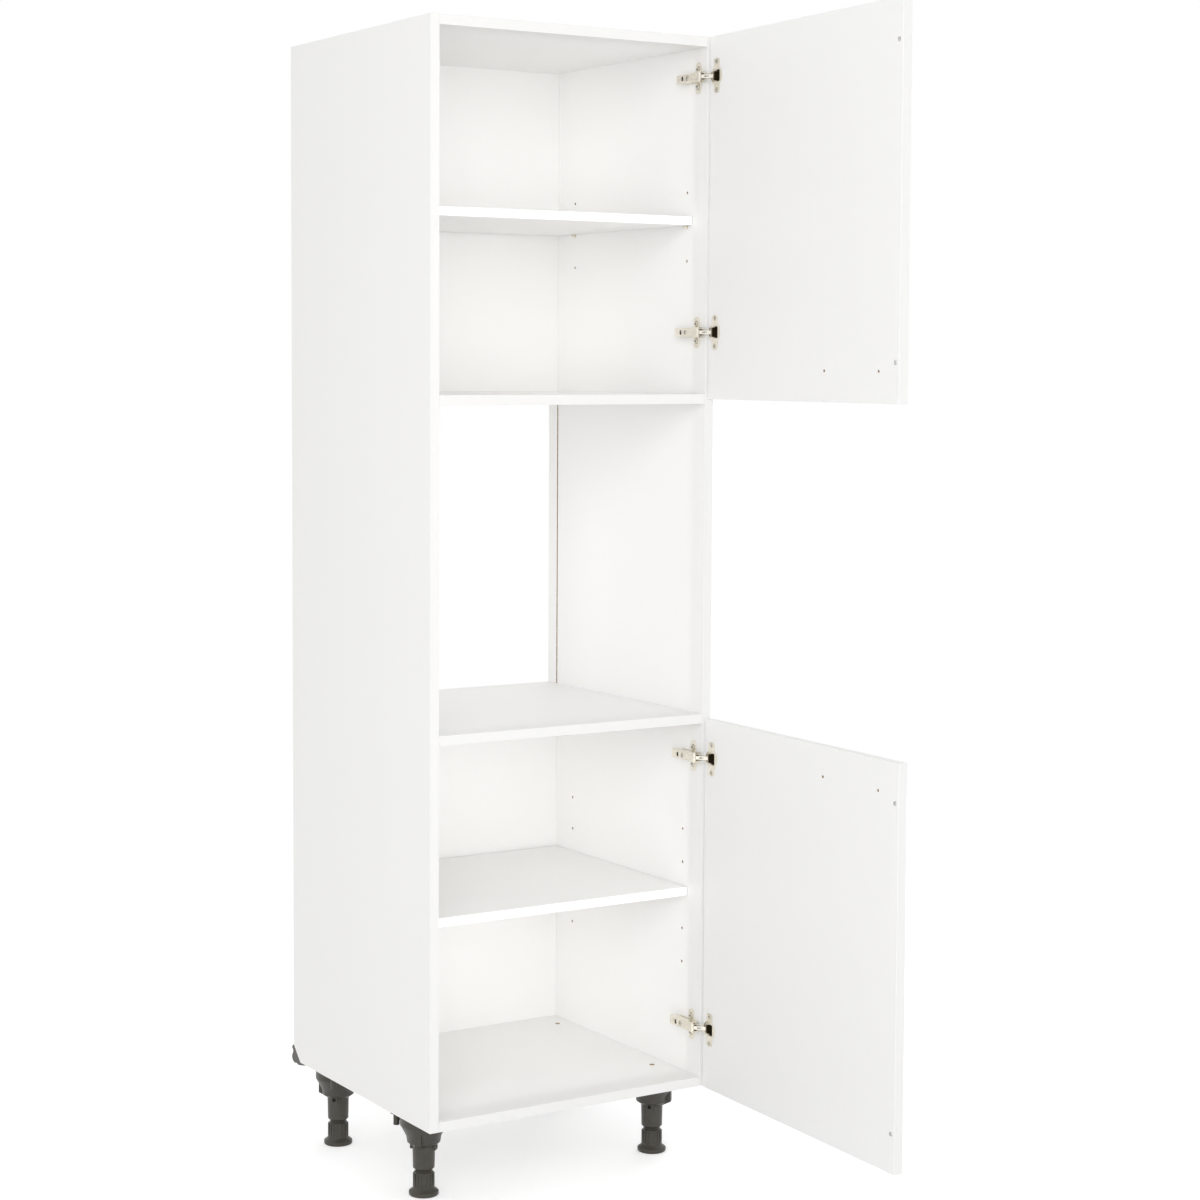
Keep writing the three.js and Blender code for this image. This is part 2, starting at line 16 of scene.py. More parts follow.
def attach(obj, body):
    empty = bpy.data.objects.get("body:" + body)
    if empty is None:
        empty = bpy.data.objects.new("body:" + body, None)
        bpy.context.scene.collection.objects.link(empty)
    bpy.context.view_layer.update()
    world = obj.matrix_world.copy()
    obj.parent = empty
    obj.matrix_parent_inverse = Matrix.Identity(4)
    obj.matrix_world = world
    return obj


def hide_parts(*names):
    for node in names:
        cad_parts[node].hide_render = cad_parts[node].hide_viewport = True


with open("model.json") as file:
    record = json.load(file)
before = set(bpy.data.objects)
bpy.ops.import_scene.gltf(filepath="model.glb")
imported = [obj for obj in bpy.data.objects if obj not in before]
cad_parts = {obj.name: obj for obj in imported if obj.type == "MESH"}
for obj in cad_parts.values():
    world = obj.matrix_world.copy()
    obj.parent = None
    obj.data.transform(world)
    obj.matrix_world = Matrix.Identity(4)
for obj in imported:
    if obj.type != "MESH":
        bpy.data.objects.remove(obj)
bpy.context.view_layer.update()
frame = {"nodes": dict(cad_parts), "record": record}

# %% [markdown]
# ## Camera
#
# The picture was taken from the front left, from a little above the niche. The camera
# stands where the unit's own corners line up with the picture's. It could look straight at
# the unit's middle, but then upright edges would lean together. A small shift of the lens
# frames the unit instead, and keeps the camera nearly level.

# %% Camera
MM = 0.001


def mm(*values):
    """A place or a size given in millimetres, as a vector in metres."""
    return Vector(values) * MM


camera_place = mm(-2383.5, -3812.0, 1514.2)
camera_pitch, camera_roll, camera_yaw = -3.731, 0.232, -31.525
lens_mm = 74.85
lens_shift = (0.0333, -0.0602)
CLIP_END = 80

bpy.ops.object.select_all(action="DESELECT")
bpy.ops.object.camera_add(location=camera_place)
camera = bpy.context.object
camera.name = "camera"
camera.rotation_euler = (
    Matrix.Rotation(math.radians(camera_yaw), 3, "Z")
    @ Matrix.Rotation(math.radians(90 + camera_pitch), 3, "X")
    @ Matrix.Rotation(math.radians(camera_roll), 3, "Z")
).to_euler()
camera.data.sensor_width = 36
camera.data.lens = lens_mm
camera.data.shift_x, camera.data.shift_y = lens_shift
camera.data.clip_end = CLIP_END
bpy.context.scene.camera = camera
print("camera at", [round(v, 3) for v in camera.location], "lens", lens_mm, "mm")

# %% [markdown]
# ## Shader sums as plain sums
#
# A procedural finish is mostly arithmetic on a pattern. Its Math nodes could be added and
# linked one at a time, but then the sum is hard to read back. A small class wraps a socket
# instead, so that a sum in Python adds the node that works it out. Every other node comes
# from one method, which takes the type of node, its settings and what goes into its sockets.

# %% A socket that can be added and multiplied
class Wire:
    """One output socket of a node tree, and the sums that can be done on it."""

    def __init__(self, nodes, socket):
        self.nodes = nodes
        self.socket = socket

    def _sum(self, operation, first, second):
        return self.nodes.node("Math", {"operation": operation}, {0: first, 1: second})

    def __add__(self, other):
        return self._sum("ADD", self, other)

    def __radd__(self, other):
        return self._sum("ADD", other, self)

    def __sub__(self, other):
        return self._sum("SUBTRACT", self, other)

    def __rsub__(self, other):
        return self._sum("SUBTRACT", other, self)

    def __mul__(self, other):
        return self._sum("MULTIPLY", self, other)

    def __rmul__(self, other):
        return self._sum("MULTIPLY", other, self)

    def or_else(self, other):
        """The larger of two values. Of two masks, what either of them holds."""
        return self._sum("MAXIMUM", self, other)


# %% Nodes by their type
class Nodes:
    """A node tree that nodes are added to."""

    def __init__(self, tree):
        self.tree = tree

    def node(self, kind, settings=None, inputs=None, output=0):
        """Any node, by its type, with its settings and what goes into its sockets."""
        made = self.tree.nodes.new("ShaderNode" + kind)
        for name, value in (settings or {}).items():
            if name == "stops":
                self._set_stops(made.color_ramp, value)
            else:
                setattr(made, name, value)
        for name, value in (inputs or {}).items():
            self.feed(made.inputs[name], value)
        return Wire(self, made.outputs[output])

    def _set_stops(self, ramp, stops):
        while len(ramp.elements) < len(stops):
            ramp.elements.new(0.5)
        for element, (position, colour) in zip(ramp.elements, stops):
            element.position = position
            element.color = colour

    def feed(self, socket, value):
        if isinstance(value, Wire):
            self.tree.links.new(value.socket, socket)
        else:
            socket.default_value = value


# %% A finish
class Finish(Nodes):
    """A material with one Principled BSDF, patterned by the place on the piece."""

    MIX_FIRST, MIX_SECOND, MIX_RESULT = 6, 7, 2  # the colour sockets of a Mix node

    def __init__(self, name, **constants):
        self.material = bpy.data.materials.new(name)
        self.material.use_nodes = True
        super().__init__(self.material.node_tree)
        self.shader = self.tree.nodes["Principled BSDF"]
        for socket, value in constants.items():
            self.set(socket.replace("_", " "), value)
        self.place = self.node("TexCoord", output="Object")

    def set(self, socket, value):
        self.feed(self.shader.inputs[socket], value)

    def noise(self, scale, detail=2.0, roughness=0.5, place=None):
        sockets = {
            "Vector": place or self.place,
            "Scale": scale,
            "Detail": detail,
            "Roughness": roughness,
        }
        return self.node("TexNoise", {}, sockets, output="Fac")

    def stretched(self, x, y, z):
        """The place on the piece, with a pattern made coarser or finer along each axis."""
        return self.node("Mapping", {}, {"Vector": self.place, "Scale": (x, y, z)})

    def ramp(self, value, *stops):
        return self.node("ValToRGB", {"stops": stops}, {"Fac": value})

    def bump(self, height, strength, distance):
        sockets = {"Height": height, "Strength": strength, "Distance": distance}
        self.set("Normal", self.node("Bump", {}, sockets, output="Normal"))

    def blend(self, factor, first, second):
        sockets = {"Factor": factor, self.MIX_FIRST: first, self.MIX_SECOND: second}
        return self.node("Mix", {"data_type": "RGBA"}, sockets, output=self.MIX_RESULT)

    def cloud(self, pattern, first, second):
        """The base colour, blended between two by a pattern."""
        self.set("Base Color", self.blend(pattern, first, second))


def grey(level, warmth=0.0):
    """A nearly white or grey colour: its level, and how far it leans to yellow."""
    return (level, level * (1 - 0.3 * warmth), level * (1 - warmth), 1.0)


print("a finish starts from one Principled BSDF")

# %% [markdown]
# ## White boards
#
# The carcass is chipboard faced with white melamine: a hard, satin skin with a very fine
# pebbled grain. A plain white would look like paper, and a grain in the colour would look
# dirty, because the real grain only shows where it catches the light. So it goes into the
# bump and into the roughness, and the colour only clouds a little. The doors have a
# smoother skin, and the thin back panels a coarser one.

# %% White skins
PEBBLE_DEEP = 0.00008


def white_skin(name, level, warmth, roughness, grain, pebble_size):
    finish = Finish(name)
    finish.cloud(finish.noise(3.0, 3.0), grey(level, warmth), grey(level * 0.985, warmth * 1.3))
    finish.set("Roughness", roughness + 0.1 * finish.noise(35.0, 4.0))
    finish.bump(finish.noise(1.0 / pebble_size, 2.0), grain, PEBBLE_DEEP)
    return finish


melamine = white_skin("white_melamine", 0.92, 0.015, 0.4, 0.3, 0.0011)
door_white = white_skin("door_white", 0.91, 0.01, 0.42, 0.12, 0.0016)
hardboard = white_skin("white_hardboard", 0.92, 0.015, 0.48, 0.45, 0.0009)
print("white skins:", [skin.material.name for skin in (melamine, door_white, hardboard)])

# %% [markdown]
# Where a board is cut, in the grooves and in the drilled holes, the bare chipboard shows.
# It is made of pressed chips of a few millimetres, pale and dark, each with its own tint.
# Noise alone would run the chips together, so a cell pattern gives each chip a colour of
# its own, and a fine noise adds the dust between them.

# %% Bare chipboard
CHIPS_PER_METRE = 700.0
DUST_COLOUR = (0.42, 0.29, 0.17, 1)

chipboard = Finish("bare_chipboard", Roughness=0.85)
chip_cells = {"Vector": chipboard.stretched(1.0, 1.0, 0.5), "Scale": CHIPS_PER_METRE}
chip = chipboard.node("TexVoronoi", {}, chip_cells, output="Color")
chip_tint = chipboard.node("SeparateColor", {}, {"Color": chip})
chip_colour = chipboard.ramp(
    chip_tint,
    (0.0, (0.30, 0.19, 0.10, 1)),
    (0.45, (0.50, 0.36, 0.22, 1)),
    (1.0, (0.68, 0.54, 0.37, 1)),
)
dust = chipboard.noise(1500.0, 3.0)
chipboard.cloud(dust * 0.5, chip_colour, DUST_COLOUR)
chipboard.bump(chip_tint + dust, 0.6, 0.0002)
print("chipboard chips of about", round(1000 / CHIPS_PER_METRE, 1), "mm")

# %% [markdown]
# ## Metal and plastic
#
# The hinges and pins are pressed steel with bright nickel plating, which leans to gold.
# One even metal would look like chrome. Pressing and plating leave soft streaks and a few
# duller spots, so these go into the roughness and the colour. The screws are the same
# plating on harder steel, a little greyer.

# %% Nickel and screws
nickel = Finish("bright_nickel", Metallic=1.0)
streaks = nickel.noise(180.0, 4.0, 0.6, nickel.stretched(1.0, 0.25, 1.0))
nickel.cloud(nickel.noise(60.0, 3.0), grey(0.84, 0.2), grey(0.95, 0.14))
nickel.set("Roughness", 0.15 + 0.2 * streaks)
nickel.bump(streaks, 0.15, 0.0001)

screw_steel = Finish("screw_steel", Metallic=1.0)
screw_steel.cloud(screw_steel.noise(250.0, 3.0), grey(0.72, 0.18), grey(0.85, 0.14))
screw_steel.set("Roughness", 0.24 + 0.15 * screw_steel.noise(400.0, 2.0))
print("nickel and screw steel")

# %% [markdown]
# Inside a hinge cup the plating is bright near the mouth, and further down a painted shade
# makes it dark and brown. It could be two finishes on two sets of faces, but then the change
# would be a hard line. The doors stand open nearly at right angles, so depth into a door is
# the x of the place on the piece, and a ramp along x makes the change.

# %% The inside of a hinge cup
BRIGHT_TO, DARK_FROM = 0.284, 0.288  # x in metres, into the open door
PLATED = (0.62, 0.56, 0.46, 1)
SHADE_IN_CUP = (0.07, 0.052, 0.026, 1)
DEEPEST_CUP_SHADE = (0.03, 0.022, 0.01, 1)

cup_inside = Finish("dark_cup_inside", Specular_IOR_Level=0.2)
into_door = cup_inside.node("SeparateXYZ", {}, {"Vector": cup_inside.place}, output="X")
steepness = 1 / (DARK_FROM - BRIGHT_TO)
how_deep = into_door * steepness - BRIGHT_TO * steepness
uneven_depth = how_deep + 0.3 * cup_inside.noise(220.0, 3.0)
# Painted shade: the base colour goes from the plating's tone to nearly black deeper into the cup.
cup_inside.set("Base Color", cup_inside.ramp(uneven_depth, (0.0, PLATED), (0.6, SHADE_IN_CUP), (1.0, DEEPEST_CUP_SHADE)))
cup_inside.set("Roughness", 0.4 + 0.2 * cup_inside.noise(300.0, 2.0))
print("cup bright to", BRIGHT_TO, "m, dark from", DARK_FROM, "m")

# %% [markdown]
# The legs are moulded in dark grey plastic with a fine spark texture, a little shinier
# where it is rubbed, so one noise drives both its tint and its shine. Holes and slots that
# nothing shines into get a nearly black finish, which is painted shade, and the door
# bumpers are clear rubber, milky enough to show against the white.

# %% Plastics
DARK_TINT, PALE_TINT = (0.043, 0.040, 0.032, 1), (0.074, 0.069, 0.056, 1)
HOLLOW, HOLLOW_PALER = (0.008, 0.008, 0.007, 1), (0.018, 0.017, 0.015, 1)

plastic = Finish("dark_grey_plastic", Specular_IOR_Level=0.4)
scuffs = plastic.noise(45.0, 5.0, 0.65)
plastic.cloud(scuffs, DARK_TINT, PALE_TINT)
plastic.set("Roughness", 0.22 + 0.22 * scuffs)
plastic.bump(plastic.noise(1400.0, 2.0), 0.35, 0.0001)

# Painted shade for holes, slots and recesses: nearly black, a little paler in patches.
hollow_painted_shade = Finish("dark_hollow", Roughness=0.7)
hollow_painted_shade.cloud(hollow_painted_shade.noise(120.0), HOLLOW, HOLLOW_PALER)

clear_rubber = Finish("clear_rubber", IOR=1.45, Transmission_Weight=0.65)
clear_rubber.cloud(clear_rubber.noise(90.0), grey(0.88, 0.02), grey(0.8, 0.04))
clear_rubber.set("Roughness", 0.12 + 0.1 * clear_rubber.noise(200.0))
print("plastic, dark hollow and clear rubber")

# %% [markdown]
# ## Carcass
#
# Six boards of faced chipboard, 18 mm thick, make the carcass: two sides that reach from
# the legs to the top, and four boards between them. Each piece is modelled with x across
# the carcass, y back from its front edge and z up from the floor, in millimetres.

# %% Sizes of the carcass
BOARD = 18
INNER, OUTER = 282, 300
DEPTH = 560
UNDERSIDE, TOP = 150, 2120
LEVELS = {"base_panel": 150, "oven_shelf": 843, "niche_top_panel": 1443, "top_panel": 2102}
EDGE = 0.5
FIT = 0.15
OVERCUT = 1
print("carcass", 2 * OUTER, "x", DEPTH, "x", TOP - UNDERSIDE, "mm")

# %% [markdown]
# A board starts as a cube, scaled to its size, and its edges are softened with a bevel.
# Sharp edges catch no light and look drawn. The size is applied to the mesh first, or the
# bevel would come out wider along one axis than along another.

# %% A block with soft edges
def only(piece):
    """The piece made the one that operators act on."""
    bpy.ops.object.select_all(action="DESELECT")
    piece.select_set(True)
    bpy.context.view_layer.objects.active = piece
    return piece


def dress(piece, finish):
    piece.data.materials.clear()
    piece.data.materials.append(finish.material)
    return piece


def apply_place(piece):
    only(piece)
    bpy.ops.object.transform_apply(location=True, rotation=True, scale=True)
    return piece


def block(finish, x, y, z):
    """A block between two limits along each axis."""
    low, high = mm(x[0], y[0], z[0]), mm(x[1], y[1], z[1])
    bpy.ops.object.select_all(action="DESELECT")
    bpy.ops.mesh.primitive_cube_add(size=1, location=(low + high) / 2)
    piece = bpy.context.object
    piece.scale = high - low
    return dress(apply_place(piece), finish)


def soften(piece, width, segments=2, sharper_than=35):
    only(piece)
    bevel = piece.modifiers.new("soft_edges", "BEVEL")
    bevel.width = width * MM
    bevel.segments = segments
    bevel.limit_method = "ANGLE"
    bevel.angle_limit = math.radians(sharper_than)
    bpy.ops.object.modifier_apply(modifier=bevel.name)
    return piece


print("soft edges of", EDGE, "mm on the boards")

# %% [markdown]
# Holes and grooves are cut with the Boolean modifier. The cutting shape carries a finish
# of its own, and the faces that it leaves take that finish, so that a hole in a white board
# shows bare chipboard. Painting the faces afterwards would mean finding them again.

# %% Cutting tools
AXES = {"x": 0, "y": 1, "z": 2}
LIE_ALONG = {"x": (0, math.pi / 2, 0), "y": (math.pi / 2, 0, 0), "z": (0, 0, 0)}


def rod(finish, axis, start, end, centre, radius, sides=32):
    """A round rod along an axis from start to end, through a centre."""
    middle = list(centre)
    middle[AXES[axis]] = (start + end) / 2
    bpy.ops.object.select_all(action="DESELECT")
    bpy.ops.mesh.primitive_cylinder_add(
        vertices=sides, radius=radius * MM, depth=(end - start) * MM,
        location=mm(*middle), rotation=LIE_ALONG[axis],
    )
    return dress(apply_place(bpy.context.object), finish)


def together(first, *others):
    """Separate shapes made one object, without joining their surfaces."""
    only(first)
    for other in others:
        other.select_set(True)
    bpy.ops.object.join()
    return first


def with_shapes(piece, operation, shapes):
    for shape in shapes:
        only(piece)
        tool = piece.modifiers.new("shape", "BOOLEAN")
        tool.operation = operation
        tool.solver = "EXACT"
        tool.material_mode = "TRANSFER"
        tool.object = shape
        bpy.ops.object.modifier_apply(modifier=tool.name)
        bpy.data.objects.remove(shape)
    return piece


def cut(piece, *shapes):
    cutter = together(*shapes) if len(shapes) > 1 else shapes[0]
    return with_shapes(piece, "DIFFERENCE", [cutter])


print("cutters leave their own finish behind")

# %% [markdown]
# The left side is the mirror image of the right one, so only one is modelled. A negative
# scale turns a shape inside out, so the twin's normals are worked out again.

# %% Copies and mirror images
def recalculated(piece):
    only(piece)
    bpy.ops.object.mode_set(mode="EDIT")
    bpy.ops.mesh.select_all(action="SELECT")
    bpy.ops.mesh.remove_doubles(threshold=0.000002)
    bpy.ops.mesh.delete_loose()
    bpy.ops.mesh.select_all(action="SELECT")
    bpy.ops.mesh.normals_make_consistent(inside=False)
    bpy.ops.object.mode_set(mode="OBJECT")
    return piece


def copied(piece):
    only(piece)
    bpy.ops.object.duplicate(linked=False)
    return bpy.context.object


def mirrored(piece):
    twin = copied(piece)
    twin.scale = (-1, 1, 1)
    return recalculated(apply_place(twin))


def moved(piece, x=0, y=0, z=0, turn=0, about=(0, 0)):
    """The piece turned round an upright line and then moved, its place kept in its mesh."""
    pivot = mm(about[0], about[1], 0)
    spin = Matrix.Rotation(math.radians(turn), 3, "Z")
    piece.rotation_euler = (0, 0, math.radians(turn))
    piece.location = pivot - spin @ pivot + mm(x, y, z)
    return apply_place(piece)


print("a copy keeps its place in its own mesh")

# %% [markdown]
# The measured model has its origin under the middle of the open unit, which is a little to
# one side of the carcass. A finished piece is moved there once, and then rides on its body.
# Its round faces are shaded smooth by their angle. On a board with soft edges that alone
# would bend the light across the flat face, so the normals are weighted by face size.

# %% Hand a finished piece over
UNIT_SHIFT = mm(-1.624, 15.926, 0)
SMOOTH_BELOW = 32
finished = []


def settle(piece, name, body, slot, *stands_for):
    piece.location = UNIT_SHIFT
    apply_place(piece)
    bpy.ops.object.shade_smooth_by_angle(angle=math.radians(SMOOTH_BELOW))
    weighted = piece.modifiers.new("flat_faces_stay_flat", "WEIGHTED_NORMAL")
    weighted.weight = 100
    weighted.keep_sharp = True
    bpy.ops.object.modifier_apply(modifier=weighted.name)
    piece.name = name
    piece.data.name = name
    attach(piece, body)
    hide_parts(*stands_for)
    finished.append(piece)
    return piece


print("pieces move by", [round(v / MM, 1) for v in UNIT_SHIFT], "mm to the measured model")

# %% [markdown]
# A side has a groove for the backs and rows of holes for the shelf pins, and its lower rear
# corner is cut off at 45 degrees, which bisect does with one plane. The groove and the
# holes are cut after the edges are softened, so that they stay crisp as a drill leaves them.

# %% Side panels
GROOVE_FRONT, GROOVE_REAR, GROOVE_DEEP = 523.6, 527.4, 6
CORNER_CUT = 30
HOLE_RADIUS, HOLE_DEEP, HOLE_STEP = 2.5, 10, 64
HOLE_COLUMNS = (63, 461)
PIN_HEIGHTS = {"lower": 505.5, "upper": 1773.5}
ROWS_FROM_PIN = {"lower": (-2, -1, 0, 1, 2), "upper": (-1, 0, 1)}
HOLE_ROWS = [
    height + HOLE_STEP * row
    for cupboard, height in PIN_HEIGHTS.items() for row in ROWS_FROM_PIN[cupboard]
]

side = block(melamine, (INNER, OUTER), (0, DEPTH), (UNDERSIDE, TOP))
only(side)
bpy.ops.object.mode_set(mode="EDIT")
bpy.ops.mesh.select_all(action="SELECT")
bpy.ops.mesh.bisect(
    plane_co=mm(0, DEPTH - CORNER_CUT, UNDERSIDE), plane_no=(0, 1, -1),
    use_fill=True, clear_outer=True,
)
bpy.ops.object.mode_set(mode="OBJECT")
soften(side, EDGE)
shelf_holes = [
    rod(chipboard, "x", INNER - OVERCUT, INNER + HOLE_DEEP, (0, y, z), HOLE_RADIUS, 20)
    for y in HOLE_COLUMNS for z in HOLE_ROWS
]
side_groove = block(
    chipboard, (INNER - OVERCUT, INNER + GROOVE_DEEP), (GROOVE_FRONT, GROOVE_REAR),
    (UNDERSIDE - OVERCUT, TOP + OVERCUT),
)
cut(side, side_groove, *shelf_holes)
settle(mirrored(side), "left_side", "carcass", "white_board", "side_panel_left")
settle(side, "right_side", "carcass", "white_board", "side_panel_right")
print("sides with", len(HOLE_ROWS) * len(HOLE_COLUMNS), "shelf holes each")

# %% [markdown]
# The four fixed boards differ only in their height and in where the groove for the back
# runs: on top of the boards below a cupboard, and underneath those above one. So one loop
# makes them all. The base also gets four holes for the dowels of the legs.

# %% Fixed boards between the sides
LEG_PLACES = {
    "front_left": (-250, 115),
    "front_right": (250, 115),
    "rear_left": (-250, 465),
    "rear_right": (250, 465),
}
DOWEL_HOLE_RADIUS, DOWEL_HOLE_TOP = 5.3, 169
GROOVE_ABOVE = ("base_panel", "niche_top_panel")


def groove_heights(name, level):
    if name in GROOVE_ABOVE:
        return level + BOARD - GROOVE_DEEP, level + BOARD + OVERCUT
    return level - OVERCUT, level + GROOVE_DEEP


for name, level in LEVELS.items():
    width = (-INNER + FIT, INNER - FIT)
    board = soften(block(melamine, width, (0, DEPTH), (level, level + BOARD)), EDGE)
    back_groove = (GROOVE_FRONT, GROOVE_REAR)
    cuts = [block(chipboard, (-OUTER, OUTER), back_groove, groove_heights(name, level))]
    if name == "base_panel":
        for x, y in LEG_PLACES.values():
            hole = rod(chipboard, "z", level - OVERCUT, DOWEL_HOLE_TOP, (x, y, 0), DOWEL_HOLE_RADIUS, 24)
            cuts.append(hole)
    settle(cut(board, *cuts), name.replace("_panel", "_board"), "carcass", "white_board", name)
print("fixed boards at", list(LEVELS.values()))

# %% [markdown]
# ## Loose shelves and their pins
#
# Each cupboard has a thinner shelf that lies on four nickel pins. It is a plain block again,
# a little narrower than the opening so that it can be lifted out, with rounder edges where
# the edging strip is glued on.

# %% Loose shelves
PIN_RADIUS = 2.4
SHELF_GAP = 0.3
SHELF_HALF, SHELF_THICK = 281, 16
SHELF_FRONT, SHELF_REAR = 45, 519.8
for cupboard, height in PIN_HEIGHTS.items():
    bottom = height + PIN_RADIUS + SHELF_GAP
    shelf = block(
        melamine, (-SHELF_HALF, SHELF_HALF), (SHELF_FRONT, SHELF_REAR),
        (bottom, bottom + SHELF_THICK),
    )
    name = f"loose_shelf_{cupboard}"
    settle(soften(shelf, 0.8, 3), name.replace("loose_", ""), "carcass", "white_board", name)
print("loose shelves lie", SHELF_GAP, "mm above their pins")

# %% [markdown]
# A pin is a turned part: a tip in the hole, a thin collar against the side and a short
# round stub. Three cylinders would give the same outline with hard steps. Here the half
# outline is drawn once, as (radius, height) pairs, and spun round its axis, which leaves
# the small bevels where a lathe leaves them. The other pins are copies of one pin.

# %% A turned outline
def turned(finish, profile, sides=48):
    """A ring of points moved on to (radius, height) pairs and spun round the upright axis."""
    bpy.ops.object.select_all(action="DESELECT")
    bpy.ops.mesh.primitive_circle_add(vertices=len(profile), fill_type="NOTHING")
    piece = bpy.context.object
    for vertex, (radius, height) in zip(piece.data.vertices, profile):
        vertex.co = mm(radius, 0, height)
    bpy.ops.object.mode_set(mode="EDIT")
    bpy.ops.mesh.select_all(action="SELECT")
    bpy.ops.mesh.spin(steps=sides, angle=2 * math.pi, center=(0, 0, 0), axis=(0, 0, 1))
    bpy.ops.object.mode_set(mode="OBJECT")
    return dress(recalculated(piece), finish)


# %% Shelf pins
PIN_IN, PIN_OUT = 9, 8
COLLAR_RADIUS, COLLAR_BACK, COLLAR_FRONT = 4, 0.15, 0.75

pin = turned(nickel, [
    (0, -PIN_IN), (PIN_RADIUS - 0.4, -PIN_IN), (PIN_RADIUS, -PIN_IN + 0.4),
    (PIN_RADIUS, COLLAR_BACK), (COLLAR_RADIUS, COLLAR_BACK), (COLLAR_RADIUS, COLLAR_FRONT),
    (PIN_RADIUS, COLLAR_FRONT), (PIN_RADIUS, PIN_OUT - 0.6), (PIN_RADIUS - 0.2, PIN_OUT - 0.2),
    (PIN_RADIUS - 0.6, PIN_OUT), (0, PIN_OUT),
], 24)
pin.rotation_euler = (0, -math.pi / 2, 0)
apply_place(pin)
pin_left = mirrored(pin)
for cupboard, height in PIN_HEIGHTS.items():
    for column, y in zip(("front", "rear"), HOLE_COLUMNS):
        for side_name, stub, x in (("left", pin_left, -INNER), ("right", pin, INNER)):
            place = f"{cupboard}_{column}_{side_name}"
            placed = moved(copied(stub), x, y, height)
            settle(placed, f"pin_{place}", "carcass", "nickel", f"shelf_pin_{place}")
bpy.data.objects.remove(pin)
bpy.data.objects.remove(pin_left)
print("pins:", sum(piece.name.startswith("pin_") for piece in finished))

# %% [markdown]
# ## Doors
#
# A door is a block with softly rounded edges, two round seats for the hinge cups and two
# holes for the handle, which isn't fitted. It could be modelled as it stands, turned by 87
# degrees, but its sizes are only plain when it is closed. So it is modelled closed, and
# turned open round the upright line that its hinges let it turn on.

# %% Doors
PIVOT = (293, -10)
OPEN = {"upper": 87, "lower": 88}
DOOR_ENDS = {"upper": (1452, 2120), "lower": (150, 852)}
DOOR_HALF, DOOR_FRONT, DOOR_BACK = 298, -20, -2
HINGE_HEIGHTS = {
    "upper": {"bottom": 1576, "top": 2047},
    "lower": {"bottom": 264, "top": 779},
}
CUP_X = 275
SEAT_RADIUS, SEAT_FLOOR = 17.8, -14.75
HANDLE_HEIGHT = {"upper": 1506, "lower": 798}
HANDLE_HOLES = (-241, -81)

for door_name, (bottom, top) in DOOR_ENDS.items():
    closed = block(door_white, (-DOOR_HALF, DOOR_HALF), (DOOR_FRONT, DOOR_BACK), (bottom, top))
    leaf = soften(closed, 0.9, 3)
    past_back, past_front = DOOR_BACK + OVERCUT, DOOR_FRONT - OVERCUT
    seats = [
        rod(chipboard, "y", SEAT_FLOOR, past_back, (CUP_X, 0, z), SEAT_RADIUS, 48)
        for z in HINGE_HEIGHTS[door_name].values()
    ]
    holes = [
        rod(chipboard, "y", past_front, past_back, (x, 0, HANDLE_HEIGHT[door_name]), HOLE_RADIUS, 20)
        for x in HANDLE_HOLES
    ]
    cut(leaf, *seats, *holes)
    moved(leaf, turn=OPEN[door_name], about=PIVOT)
    settle(leaf, f"{door_name}_door_leaf", f"{door_name}_door", "white_door", f"door_{door_name}")
print("doors open by", list(OPEN.values()), "degrees")

# %% [markdown]
# A small clear rubber dome near each corner of a door's free edge stops it from banging.
# Each is a turned outline, laid on the inner face, and turned open with its door.

# %% Bumpers
BUMPER_X, BUMPER_FROM_END = -288, 69

bumper = turned(clear_rubber, [
    (0, 0), (3.7, 0), (4, 0.2), (4, 0.5), (3.5, 0.95), (2.4, 1.3), (1.2, 1.46), (0, 1.5),
], 28)
bumper.rotation_euler = (-math.pi / 2, 0, 0)
apply_place(bumper)
for door_name, (bottom, top) in DOOR_ENDS.items():
    for end, z in (("bottom", bottom + BUMPER_FROM_END), ("top", top - BUMPER_FROM_END)):
        place = f"{door_name}_{end}"
        on_closed_door = moved(copied(bumper), BUMPER_X, DOOR_BACK + FIT, z)
        stuck = moved(on_closed_door, turn=OPEN[door_name], about=PIVOT)
        settle(stuck, f"bumper_pad_{place}", f"{door_name}_door", "clear_plastic", f"bumper_{place}")
bpy.data.objects.remove(bumper)
print("bumpers:", sum(piece.name.startswith("bumper_pad_") for piece in finished))

# %% [markdown]
# ## Hinges
#
# A concealed hinge has a plate screwed to the side, an arm that clips over it, links, and a
# cup let into the door. All the screws have a cross recess, so one screw head is made as a
# low dome with a cross cut into it, in the size and the direction that each place needs.

# %% A screw head with a cross recess
RECESS_DEEP = 1.1
FACE_INWARDS = (0, -math.pi / 2, 0)
FACE_ROOM = (-math.pi / 2, 0, 0)


def weld(piece, *shapes):
    """Shapes joined to the piece by their surfaces."""
    return with_shapes(piece, "UNION", shapes)


def screw_head(radius, height, axis_turn):
    """A dome that stands up from z = 0, turned to face along another axis."""
    head = turned(screw_steel, [
        (0, -0.6), (radius * 0.9, -0.6), (radius, 0), (radius, height * 0.35),
        (radius * 0.86, height * 0.8), (radius * 0.6, height), (0, height),
    ], 28)
    long_half, short_half = radius * 0.6, radius * 0.13
    recess = (height - RECESS_DEEP, height + OVERCUT)
    # The cross recess is painted shade, nearly black.
    cross = block(hollow_painted_shade, (-long_half, long_half), (-short_half, short_half), recess)
    weld(cross, block(hollow_painted_shade, (-short_half, short_half), (-long_half, long_half), recess))
    cut(head, cross)
    head.rotation_euler = axis_turn
    return apply_place(head)


plate_screw = screw_head(5.0, 2.2, FACE_INWARDS)
arm_screw = screw_head(3.6, 1.0, FACE_INWARDS)
ear_screw = screw_head(4.0, 0.5, FACE_ROOM)
print("three kinds of screw head")

